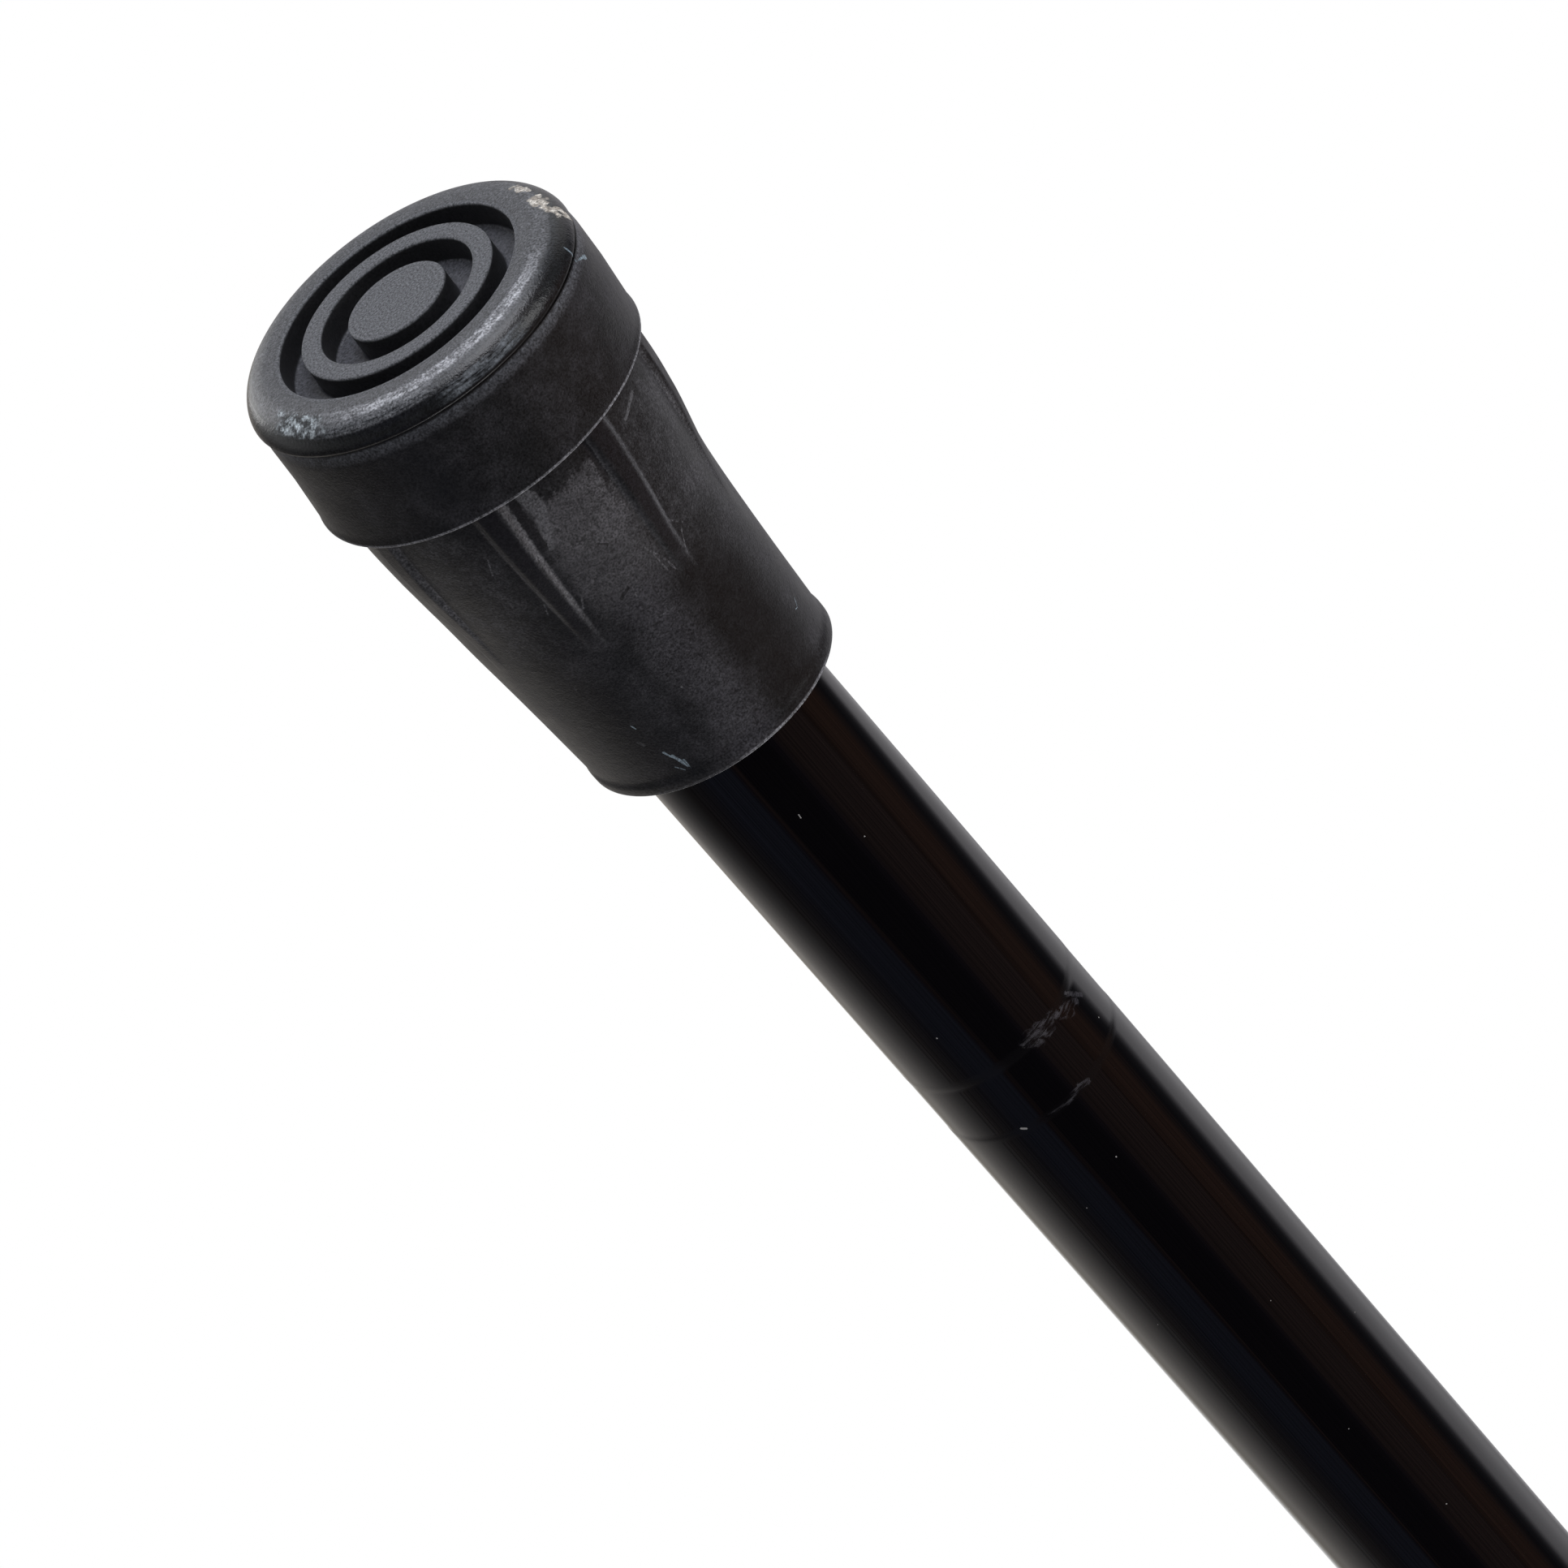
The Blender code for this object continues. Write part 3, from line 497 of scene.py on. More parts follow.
# %% The foot's outline
BORE = 9.8
FOOT_HEIGHT = 50.15
COLLAR_TOP = 13.5
foot_outline = [
    (0, 12.6),
    (BORE, 12.6, 0.3),
    (BORE, FOOT_HEIGHT, 0.2),
    (12.68, FOOT_HEIGHT, 0.12),
    (12.70, 49.2, 0.2),
    (12.57, 48.6, 0.3),
    (13.06, 40.0, 2.0),
    (13.60, 32.3, 2.5),
    (13.94, 28.0, 1.8),
    (14.46, 24.0, 1.8),
    (14.85, 20.5, 1.7),
    (15.12, 17.0, 1.2),
    (15.20, COLLAR_TOP, 0.25),
    (16.57, COLLAR_TOP, 0.12),
    (16.45, 12.7, 0.3),
    (16.43, 4.1, 0.4),
    (16.30, 3.1, 0.2),
    (16.24, 2.85, 0.06),
    (16.24, 2.75, 0.06),
    (16.50, 2.55, 0.12),
    (16.46, 1.5, 1.1),
    (14.5, 0, 1.2),
    (11.94, 0, 0.16),
    (11.94, 2.7, 0.25),
    (9.65, 2.7, 0.25),
    (9.65, 0, 0.16),
    (7.69, 0, 0.16),
    (7.69, 2.7, 0.25),
    (4.91, 2.7, 0.25),
    (4.91, 0, 0.16),
    (0, 0),
]


# %% Spinning it in spans
RIBS = 8
RIB_TOP_DEG, RIB_FOOT_DEG = 3.4, 6.6  # on either side of a rib's middle
RIBS_TURNED_DEG = -2


def spun_in_spans(outline, spans, run):
    """Spins a wire through spans given as (degrees, steps), which together make a full turn."""
    shape = wire(outline, 0, run)
    edge = shape.verts[:] + shape.edges[:]
    for degrees, steps in spans:
        angle = math.radians(degrees)
        edge = bmesh.ops.spin(shape, geom=edge, angle=angle, steps=steps, **ROUND_Z)["geom_last"]
    bmesh.ops.remove_doubles(shape, verts=shape.verts, dist=2e-6)
    bmesh.ops.recalc_face_normals(shape, faces=shape.faces)
    return shape


flank = RIB_FOOT_DEG - RIB_TOP_DEG
half_panel = (360 / RIBS - 2 * RIB_FOOT_DEG) / 2
sector = [(half_panel, 8), (flank, 6), (2 * RIB_TOP_DEG, 9), (flank, 6), (half_panel, 8)]
foot = spun_in_spans(foot_outline, sector * RIBS, 0.9)
clocked = Matrix.Rotation(math.radians(RIBS_TURNED_DEG), 3, "Z")
bmesh.ops.rotate(foot, verts=foot.verts, cent=(0, 0, 0), matrix=clocked)
print("foot:", len(foot.verts), "points")

# %% Ribs that stand out and fade towards the mouth
RIB_STANDS = 0.5
RIB_FROM, RIB_TO = 13.7, 32.5
RIB_NARROWEST, RIB_WIDENS = 0.55, 0.45  # shares of its width, mouth to collar
# Dust on a rib's two flanks, the first also carrying its painted light at twice the
# strength: degrees where it starts, grows, ends and fades, and how much.
FLANK_DUST_AND_LIGHT = [(2.2, 3.2, 7.0, 0.9, 1.0), (4.2, 1.2, 6.8, 0.8, 0.5)]


def ease(share):
    share = min(max(share, 0), 1)
    return share * share * (3 - 2 * share)


def raise_ribs(shape):
    """Moves the sleeve's points out where a rib runs, and marks its flanks for the colour."""
    flanks = shape.verts.layers.float.new("rib_flank")
    tops = shape.verts.layers.float.new("rib_top")
    for corner in shape.verts:
        x, y, z = corner.co / MM
        radius = math.hypot(x, y)
        if not RIB_FROM < z < RIB_TO or radius < BORE + 2:
            continue
        turn = math.degrees(math.atan2(y, x)) - RIBS_TURNED_DEG
        side = turn % (360 / RIBS) - 180 / RIBS
        left = 1 - (z - RIB_FROM) / (RIB_TO - RIB_FROM)
        wide = abs(side) / (RIB_NARROWEST + RIB_WIDENS * left)
        stand = RIB_STANDS * ease((RIB_FOOT_DEG - wide) / flank) * min(1, 1.6 * left)
        # The first flank's stronger mark is painted light over its dust.
        start, grows, end, fades, most = FLANK_DUST_AND_LIGHT[side >= 0]
        dusty = most * ease((wide - start) / grows) * ease((end - wide) / fades)
        corner[flanks] = dusty * min(1, 3 * left)
        corner[tops] = ease((4.6 - wide) / 2.0) * min(1, 3 * left)
        corner.co.x *= 1 + stand / radius
        corner.co.y *= 1 + stand / radius


raise_ribs(foot)

# %% [markdown]
# The foot in the photograph has bent on its tube: the mouth stays centred, the tread has moved
# 2 mm sideways, and every section is tilted by 3.7 degrees. Before the bend, each point writes
# down where it was in the mould, in millimetres, as an attribute. The rubber's pattern follows
# that attribute, so it bends with the foot.

# %% The bend of a used foot
TILT = math.radians(3.7)
TUBE_HOLDS_TO, HELD_FADE = 30, 4
RIM_TO, RIM_ASIDE = 2.9, 0.15
MOUTH_ASIDE, LEAN, BEND = -0.13, 0.006, 0.054
COLLAR_SAG_FROM, COLLAR_SAG = 8, 0.05


def sideways(z):
    """How far the foot's middle is from the tube's axis at a height in the mould, in mm."""
    below = TUBE_HOLDS_TO - z
    if abs(below) < HELD_FADE:
        below = (below + HELD_FADE) ** 2 / (4 * HELD_FADE)
    rim = RIM_ASIDE if z < RIM_TO else 0
    return rim + MOUTH_ASIDE - LEAN * (FOOT_HEIGHT - z) - BEND * max(below, 0)


def bend_foot(shape):
    """Tilts every section; the bore stays straight on the tube and the collar sags a little."""
    mould = shape.verts.layers.float_vector.new("in_the_mould")
    for corner in shape.verts:
        x, y, z = corner.co / MM
        corner[mould] = (x, y, z)
        radius = math.hypot(x, y)
        if radius < BORE + 0.05 and z > 12:
            corner.co.z -= x * math.sin(TILT) * ease((z - TUBE_HOLDS_TO) / 20) * MM
            continue
        on_collar = radius > 15.6 and z <= COLLAR_TOP
        sag = COLLAR_SAG * max(z - COLLAR_SAG_FROM, 0) if on_collar else 0
        corner.co.x = (sideways(z) + sag + x * math.cos(TILT)) * MM
        corner.co.z -= x * math.sin(TILT) * MM


bend_foot(foot)

# %% [markdown]
# ## Vulcanised rubber
# The foot is black natural rubber, pressed and cured in a steel mould. Fresh, it is smooth and
# nearly black. In use the tread scuffs to an even matte grey, the rim wears to a pale polished
# band, and a powdery bloom rises to the skin. Every mask starts from a place on the foot as it
# was in the mould: its height, its distance from the middle and its turn round it. One more
# number, radius plus height, grows steadily from the tread over the rim and up the collar, so
# one ramp can colour all of them.


# %% Places on the foot, in mm and degrees; the camera looks from -90 degrees
RUBBER, tree = new_finish("vulcanised_rubber_scuffed")
where = add(tree, "Attribute", out="Vector", attribute_name="in_the_mould")
rib_flank = add(tree, "Attribute", out="Fac", attribute_name="rib_flank")
rib_top = add(tree, "Attribute", out="Fac", attribute_name="rib_top")
parts = add(tree, "SeparateXYZ", [where]).node.outputs
height = parts["Z"]
flat = add(tree, "CombineXYZ", (parts["X"], parts["Y"], 0.0))
radius = add(tree, "VectorMath", [flat], "Value", operation="LENGTH")
march = add(tree, "Math", (radius, height), **PLUS)
turn = add(tree, "Math", (parts["Y"], parts["X"]), operation="ARCTAN2")
turn = add(tree, "Math", (turn, 180 / math.pi), **TIMES)
print("places on the foot:", len(tree.nodes), "nodes")

# %% [markdown]
# Rubber is never even. Each kind of unevenness is a noise with the size it has on the foot:
# clouds of bloom, a mottled skin, fine dust, crumbs in a tear, streaks along the ribs and wipes
# round the rim. The real grain is finer than the render can show, so it is drawn 0.2 mm
# coarse, which just shows.

# %% Noises in the rubber: what they follow, size in mm, detail and roughness
up_the_ribs = add(tree, "VectorMath", (where, (1.0, 1.0, 0.15)), **TIMES)
round_it = add(tree, "Math", (turn, 0.05), **TIMES)
round_the_rim = add(tree, "CombineXYZ", (round_it, march, 0.0))
UNEVEN = {
    "bloom": (where, 3.5, 5.0, 0.68),
    "mottle": (where, 0.8, 4.0, 0.65),
    "dust": (where, 0.35, 5.0, 0.72),
    "crumbs": (where, 0.7, 6.0, 0.75),
    "grain": (where, 0.2, 2.0, 0.5),
    "streaks": (up_the_ribs, 1.1, 4.0, 0.6),
    "wipes": (round_the_rim, 0.35, 5.0, 0.7),
}
for name, (follows, size, detail, roughness) in UNEVEN.items():
    looks = {"Vector": follows, "Scale": 1 / size, "Detail": detail, "Roughness": roughness}
    UNEVEN[name] = add(tree, "TexNoise", looks)
bloom, mottle, dust, crumbs, grain, streaks, wipes = UNEVEN.values()
print("noises:", ", ".join(UNEVEN))

# %% [markdown]
# The sleeve is near black with a grey bloom. Dust lies thickest in the two panels beside the
# middle one. Towards the mouth their inner sides are painted darker as shade, and the middle
# panel gets a paler painted sheen. Colours are laid one over another, as dust lies over bloom
# and bloom over rubber.


# %% The sleeve's skin
def laid_over(tree, ground, *coats):
    """Each coat (mask, colour) hides what is beneath where its mask is 1."""
    for cover, colour in coats:
        colour = linear(colour) if isinstance(colour, str) else colour
        ground = add(tree, "Mix", {0: cover, 6: ground, 7: colour}, 2, **COLOURS)
    return ground


bloomed = add(tree, "MapRange", (bloom, 0.4, 0.75), **SOFT)
on_sleeve = add(tree, "MapRange", (height, 13.6, 15.5), **SOFT)
beside = mask(tree, (turn, -152, -124, 5)), mask(tree, (turn, -56, -36, 8))
thinning = add(tree, "MapRange", (height, 26, 36, 0.3, 0.04))
dusty = (add(tree, "Math", beside, **MOST), thinning, 0.06)
dusty = add(tree, "Math", dusty, **TIMES_PLUS, use_clamp=True)
dusted = add(tree, "Math", (streaks, 0.5, dust), **TIMES_PLUS)
dusted = add(tree, "MapRange", (dusted, 0.6, 0.95, 0.0, 0.9), **SOFT)
clouds = add(tree, "MapRange", (bloom, 0.38, 0.62, 0.35, 1.4))
dusted = mask(tree, dusted, clouds, dusty, on_sleeve)
# Painted shade: the inner sides of the two dusty panels are darkened towards the mouth.
painted_shade = mask(tree, (turn, -130, -116, 16)), mask(tree, (turn, -60, -46, 12), 0.5)
towards_mouth = add(tree, "MapRange", (height, 29, 35, 0.3, 0.8), **SOFT)
painted_shade = mask(tree, add(tree, "Math", painted_shade, **MOST), towards_mouth)
# Painted sheen: a paler column down the middle panel, broken up by the dust noise.
painted_sheen = add(tree, "MapRange", (dust, 0.35, 0.65, 0.2, 1.0))
towards_mouth = add(tree, "MapRange", (height, 20, 32, 0.0, 0.5), **SOFT)
painted_sheen = mask(tree, (turn, -97, -89, 13), painted_sheen, towards_mouth)
coats = [(bloomed, "262528"), (dusted, "504f52"), (painted_shade, "0b0b0c"), (painted_sheen, "3e3c41")]
colour = laid_over(tree, linear("161617"), *coats)
print("sleeve:", len(coats), "coats over black")

# %% [markdown]
# Between two ribs the sleeve is scuffed to a ragged matte patch. The tops of the ribs are
# painted darker, and dust gathers along their flanks, with painted light on one flank of
# every rib.

# %% The scuffed panel and the ribs
ragged = add(tree, "Math", (mottle, 9.0, turn), **TIMES_PLUS)
lowered = add(tree, "Math", (bloom, 9.0, height), **TIMES_PLUS)
panel = mask(tree, (ragged, -101, -77, 3), (lowered, 21, 28, 1.2))
fading = mask(tree, (turn, -107, -79, 4), (lowered, 24, 31, 5), 0.6)
mottled = add(tree, "MapRange", (mottle, 0.35, 0.65, 0.35, 0.8))
panel = mask(tree, add(tree, "Math", (panel, fading), **MOST), on_sleeve, mottled)
dusty = add(tree, "MapRange", (dust, 0.3, 0.65, 0.3, 1.0))
broken = add(tree, "MapRange", (streaks, 0.4, 0.6, 0.45, 1.0))
# Dust on the flanks, with painted light on one flank of every rib.
flanks = mask(tree, rib_flank, dusty, broken)
colour = laid_over(tree, colour, (panel, "434144"), (rib_top, "121114"), (flanks, "545356"))
print("ribs:", RIBS, "with dusty flanks")

# %% [markdown]
# The rim meets the ground at each step. It is grey on the flat, palest at the rounding, nearly
# black on its polished side, and grey again above the groove where the mould parts; that thin
# groove is painted near-black as its shade. A broken pale band follows the side that faces the
# camera: partly wear, partly a painted highlight on the rounding.

# %% The rim from the tread to the collar, by radius plus height in mm
RIM_ZONES = [
    (11.0, "494a4d"),
    (13.4, "4f5053"),
    (14.1, "505154"),
    (15.0, "525356"),
    (15.5, "4c4d50"),
    (15.9, "2b2d30"),
    (17.0, "131416"),
    (18.7, "131416"),
    # The thin groove where the mould parts: painted shade.
    (18.85, "09090a"),
    (19.15, "09090a"),
    (19.4, "3e3f43"),
    (20.2, "303033"),
    (20.8, "1c1c1e"),
]
RAMP_FROM, RAMP_LONG = 11, 20
share = add(tree, "MapRange", (march, RAMP_FROM, RAMP_FROM + RAMP_LONG))
stops = [((place - RAMP_FROM) / RAMP_LONG, linear(code)) for place, code in RIM_ZONES]
rim = add(tree, "ValToRGB", [share], stops=stops)
# Painted highlight with wear: a pale broken band on the rounding, and a fainter one below it, on
# the side that faces the camera.
band = mask(tree, (turn, -122, -64, 32), (march, 14.1, 15.0, 0.45))
below = mask(tree, (turn, -74, -46, 16), (march, 15.7, 16.7, 0.5), 0.28)
broken = add(tree, "MapRange", (wipes, 0.36, 0.61, 0.05, 1.0))
band = mask(tree, add(tree, "Math", (band, below), **MOST), broken)
rim = laid_over(tree, rim, (band, "9c9da1"))
patchy = add(tree, "MapRange", (mottle, 0.25, 0.75, 0.6, 1.4))
rim = add(tree, "VectorMath", {0: rim, 3: patchy}, **SCALED)
on_rim = add(tree, "MapRange", (march, 20.8, 20.3), **SOFT)
colour = laid_over(tree, colour, (on_rim, rim))
print("rim:", len(RIM_ZONES), "zones")

# %% [markdown]
# The stick has knocked against things. A scuff lies on the rim's polished side, and at the
# right a piece of the rim is torn, with crumbs of pale rubber in it.

# %% The scuff and the torn edge
rubbed = add(tree, "MapRange", (wipes, 0.35, 0.62, 0.0, 0.8), **SOFT)
scuff = mask(tree, (turn, -108, -88, 10), (march, 17.3, 18.5, 0.4), rubbed)
ragged = add(tree, "Math", (bloom, 30.0, turn), **TIMES_PLUS)
lowered = add(tree, "Math", (mottle, 2.6, march), **TIMES_PLUS)
tear = mask(tree, (ragged, -19, -2, 6), (lowered, 15.7, 17.7, 0.6))
crumbled = add(tree, "MapRange", (crumbs, 0.44, 0.62))
torn = laid_over(tree, linear("26292c"), (crumbled, "a9b1b5"))
colour = laid_over(tree, colour, (scuff, "5d6166"), (tear, torn))
print("scuffed and torn:", len(tree.nodes), "nodes so far")

# %% [markdown]
# Inside the rim, the boss, the ring and the land stand up from their grooves. Dirt has made the
# floor of the grooves grey, their walls stay black, and the flat tops are ground to an even
# grey, with faint rings from the turning of the mould.

# %% The tread
inside = add(tree, "MapRange", (radius, 12.6, 12.2), **SOFT)
deep = mask(tree, inside, add(tree, "MapRange", (height, 8, 5)))
floor = add(tree, "MapRange", (height, 2.4, 2.65), **SOFT)
grooves = laid_over(tree, linear("18181a"), (floor, "47484d"))
rings = {"W": radius, "Scale": 1 / 0.3, "Detail": 1.0}
rings = add(tree, "TexNoise", rings, noise_dimensions="1D")
rings = add(tree, "MapRange", (rings, 0.3, 0.7, 0.92, 1.12))
land = add(tree, "VectorMath", {0: linear("595a5d")[:3], 3: rings}, **SCALED)
ground = add(tree, "MapRange", (height, 0.3, 0.1), **SOFT)
ground = mask(tree, ground, inside)
colour = laid_over(tree, colour, (deep, grooves), (ground, land))
print("tread:", len(tree.nodes), "nodes so far")

# %% [markdown]
# The mould leaves a thin flash at the collar's edge and at the mouth, and handling has rubbed
# both grey. The grey line is also a painted highlight along those edges.

# %% Flash at the collar and the mouth, with a painted edge highlight
outer = add(tree, "Math", (radius, 16.3), **MORE_THAN)
flash = mask(tree, outer, (height, 13.3, 13.5, 0.1))
# At the mouth the painted highlight is full on the side towards the camera and a quarter
# elsewhere.
lip = add(tree, "MapRange", (mask(tree, (turn, -132, -92, 12)), 0.0, 1.0, 0.25, 1.0))
lip = mask(tree, lip, (height, 49.9, 50.2, 0.12))
mottled = add(tree, "MapRange", (mottle, 0.3, 0.65, 0.3, 0.9))
flash = mask(tree, add(tree, "Math", (flash, lip), **MOST), mottled)
colour = laid_over(tree, colour, (flash, "6d6c70"))
print("flash:", len(tree.nodes), "nodes so far")

# %% [markdown]
# Single marks are drawn along short lines, whose ends were found in the photograph. A line's
# mask falls off with the distance from it, and a noise frays its edge.


# %% Strokes along lines
def strokes(tree, where, lines, ragged, fray):
    """1 on lines given as (start, end, half-width in mm), with frayed edges."""
    total = 0.0
    for start, end, half in lines:
        along = Vector(end) - Vector(start)
        way = add(tree, "VectorMath", (where, start), **MINUS)
        share = (way, tuple(along / max(along.length_squared, 1e-6)))
        share = add(tree, "VectorMath", share, "Value", operation="DOT_PRODUCT")
        share = add(tree, "Math", (share, 0.0), **PLUS, use_clamp=True)
        nearest = add(tree, "VectorMath", {0: tuple(along), 3: share}, **SCALED)
        off = add(tree, "VectorMath", (way, nearest), "Value", operation="DISTANCE")
        frayed = add(tree, "MapRange", (ragged, 0.3, 0.7, -fray * half, 0.5 * fray * half))
        off = add(tree, "Math", (off, frayed), **PLUS)
        line = add(tree, "MapRange", (off, 1.15 * half, 0.75 * half), **SOFT)
        total = add(tree, "Math", (line, total), **MOST)
    return total


# %% Marks on the rubber, and two lines of painted shade, as lines in the mould, in mm
CHIPS = [
    ((-14.5, 3.8, 0.1), (-14.8, 2.2, 0.15), 0.4),
    ((-14.7, -0.3, 0.15), (-15.1, -1.6, 0.3), 0.6),
    ((-14.9, -2.2, 0.4), (-15.5, -3.5, 0.9), 0.35),
    ((-15.7, -2.6, 1.2), (-16.0, -3.8, 2.0), 0.3),
]
LIGHT_LINES = [
    ((6.5, -10.9, 45.6), (6.05, -11.2, 46.9), 0.08),
    ((6.1, -11.1, 46.3), (5.75, -11.35, 48.0), 0.13),
    ((5.6, -11.4, 47.2), (5.65, -11.4, 48.4), 0.09),
    ((6.6, -10.8, 47.6), (6.1, -11.1, 48.3), 0.06),
    ((7.35, -10.6, 40.6), (7.0, -10.85, 42.0), 0.07),
    ((-11.1, -6.5, 43.95), (-10.75, -7.0, 44.6), 0.05),
    ((-10.75, -7.0, 44.6), (-10.5, -7.3, 44.45), 0.05),
    ((-14.0, -8.4, 1.4), (-14.0, -8.7, 3.2), 0.12),
    ((-14.0, -8.7, 3.2), (-14.6, -7.4, 3.9), 0.1),
    ((-14.6, -7.4, 3.9), (-14.7, -7.2, 4.1), 0.2),
]
SMEARS = [
    ((-10.9, -10.5, 15.5), (-9.0, -12.1, 16.3), 0.14),
    ((2.0, -15.0, 14.6), (1.5, -15.0, 16.3), 0.55),
    ((1.5, -15.0, 16.3), (2.7, -14.8, 20.0), 0.5),
    ((3.6, -14.7, 14.6), (3.9, -14.5, 19.0), 0.2),
]
# Two dark lines at the foot of rib flanks: painted shade.
FLANK_SHADE_LINES = [
    ((3.2, -14.8, 14.4), (3.3, -14.6, 20.0), 0.42),
    ((-4.8, -14.5, 14.2), (-4.6, -14.2, 18.8), 0.25),
]

# %% Marks on the sleeve, as turn and height of both ends, and half-width in mm
SCRIBBLED = [
    (-117.4, 26.2, -123.5, 28.0, 0.08),
    (-121.5, 28.2, -117.4, 30.3, 0.07),
    (-104.6, 26.4, -107.6, 28.2, 0.07),
    (-108.4, 28.6, -110.0, 30.6, 0.08),
    (-106.4, 27.8, -107.2, 30.0, 0.07),
    (-99.6, 33.2, -93.2, 32.9, 0.07),
    (-58.9, 18.6, -56.5, 20.3, 0.07),
    (-77.0, 26.4, -74.2, 27.9, 0.08),
    (-64.2, 25.4, -62.8, 26.6, 0.07),
    (-92.8, 29.6, -92.5, 29.7, 0.14),
    (-83.1, 40.2, -83.0, 40.3, 0.1),
    (-49.2, 35.6, -49.9, 35.3, 0.1),
    (-53.6, 43.6, -54.6, 44.1, 0.12),
]
CRUMBLED = [(-91.5, 28.6, -87.5, 29.0, 0.16), (-95.0, 23.6, -92.5, 23.0, 0.1)]
SLEEVE_OUTLINE = foot_outline[5:13]


def sleeve_point(degrees, tall):
    """The point of the sleeve's skin at a turn and a height in the mould."""
    for upper, lower in zip(SLEEVE_OUTLINE, SLEEVE_OUTLINE[1:]):
        if lower[1] <= tall <= upper[1]:
            part = (tall - lower[1]) / (upper[1] - lower[1])
            reach = lower[0] + part * (upper[0] - lower[0])
            angle = math.radians(degrees)
            return (reach * math.cos(angle), reach * math.sin(angle), tall)


SCRIBBLES, CRUMBLES = (
    [(sleeve_point(*mark[:2]), sleeve_point(*mark[2:4]), mark[4]) for mark in marks]
    for marks in (SCRIBBLED, CRUMBLED)
)
print("marks on the sleeve:", len(SCRIBBLES) + len(CRUMBLES))

# %% Marks and painted shade laid over the rubber
smears = mask(tree, strokes(tree, where, SMEARS, mottle, 1.2), 0.75)
faint = add(tree, "MapRange", (dust, 0.42, 0.6, 0.0, 0.6))
scribbles = mask(tree, strokes(tree, where, SCRIBBLES, dust, 1.4), faint)
# Dark strokes: painted shade along two rib flanks, and crumbled marks.
cuts = strokes(tree, where, FLANK_SHADE_LINES + CRUMBLES, mottle, 0.5)
lines = strokes(tree, where, LIGHT_LINES, mottle, 0.9)
chips = strokes(tree, where, CHIPS, mottle, 1.5)
chipped = laid_over(tree, linear("8b847b"), (crumbled, "cbc6bd"))
colour = laid_over(tree, colour, (smears, "4b4a4d"), (scribbles, "5b5a5d"), (cuts, "19181a"))
colour = laid_over(tree, colour, (lines, "67727a"), (chips, chipped))
grainy = add(tree, "MapRange", (grain, 0.3, 0.7, 0.35, 1.65))
colour = add(tree, "VectorMath", {0: colour, 3: grainy}, **SCALED)
print("marked:", len(tree.nodes), "nodes so far")

# %% [markdown]
# The rubber's shine tells its wear as much as its colour does: satin on the sleeve, matte where
# it was ground or scuffed, and polished on the side of the rim, which rubs against shoes.

# %% How rough the rubber is, its relief, and the finished foot
rough = add(tree, "MapRange", (bloom, 0.35, 0.7, 0.34, 0.46))
matte = add(tree, "Math", (panel, smears), **MOST)
polished = mask(tree, (march, 16.2, 18.6, 0.4))
worn = add(tree, "MapRange", (march, 15.6, 15.2), **SOFT)
broken = add(tree, "Math", (add(tree, "Math", (chips, tear), **MOST), scuff), **MOST)
for cover, level in (matte, 0.6), (polished, 0.24), (worn, 0.46), (ground, 0.8), (broken, 0.6):
    rough = add(tree, "Mix", {0: cover, 2: rough, 3: level})
relief = add(tree, "Math", (mottle, 2.0, grain), **TIMES_PLUS)
bump = add(tree, "Bump", {"Height": relief, "Strength": 0.4, "Distance": 0.05 * MM})
looks = {"Base Color": colour, "Roughness": rough, "IOR": 1.46, "Normal": bump}
add(tree, "OutputMaterial", [add(tree, "BsdfPrincipled", looks)])
piece("rubber_foot", foot, RUBBER, "lower_body", "ferrule_rubber", "ferrule")
print("rubber:", len(tree.nodes), "nodes")

# %% [markdown]
# ## Black enamel
# The tubes are drawn aluminium with stoved black enamel: a deep black under a hard, clear
# gloss, a little rippled along the tube from the drawing, with dust, fine scratches and a
# scuffed band that only show where they catch a light. The band's pale strokes at the rolled
# ring's edges are also a painted reflection of those edges.

# %% Marks on the enamel, as lines on the lowest tube, in mm
# Pale strokes at the rolled ring's two edges: scuffs, and a painted reflection of those edges.
RING_EDGE_SCUFFS_AND_REFLECTION = [
    ((-0.8, -9.46, 93.9), (-2.0, -9.3, 95.2), 0.4),
    ((-1.6, -9.36, 93.6), (-3.4, -8.9, 95.4), 0.45),
    ((-2.6, -9.1, 93.6), (-4.0, -8.6, 94.6), 0.35),
    ((-4.2, -8.5, 94.2), (-5.9, -7.4, 96.2), 0.4),
    ((-5.4, -7.8, 94.9), (-6.9, -6.5, 96.2), 0.35),
    ((-6.6, -6.8, 94.6), (-7.6, -5.6, 96.6), 0.25),
    ((2.1, -9.26, 101.7), (-0.3, -9.5, 101.9), 0.14),
    ((-0.3, -9.5, 101.9), (-2.0, -9.3, 101.5), 0.28),
    ((-2.0, -9.3, 101.5), (-2.9, -9.05, 101.9), 0.3),
]
BRIGHT_DOTS = [
    ((4.5, -8.37, 101.5), (4.15, -8.55, 101.75), 0.1),
    ((1.01, -9.45, 60.0), (1.05, -9.44, 60.4), 0.045),
    ((-2.15, -9.25, 66.3), (-2.15, -9.25, 66.35), 0.05),
    ((4.85, -8.17, 88.2), (4.85, -8.17, 88.25), 0.06),
    ((-0.35, -9.49, 109.9), (-0.35, -9.49, 109.95), 0.06),
]


# %% Stoved enamel: dust, bright dots and a scuffed band, partly a painted reflection
def in_mm(tree):
    """The place on a piece, in mm."""
    place = add(tree, "TexCoord", out="Object")
    return add(tree, "VectorMath", {0: place, 3: 1000.0}, **SCALED)


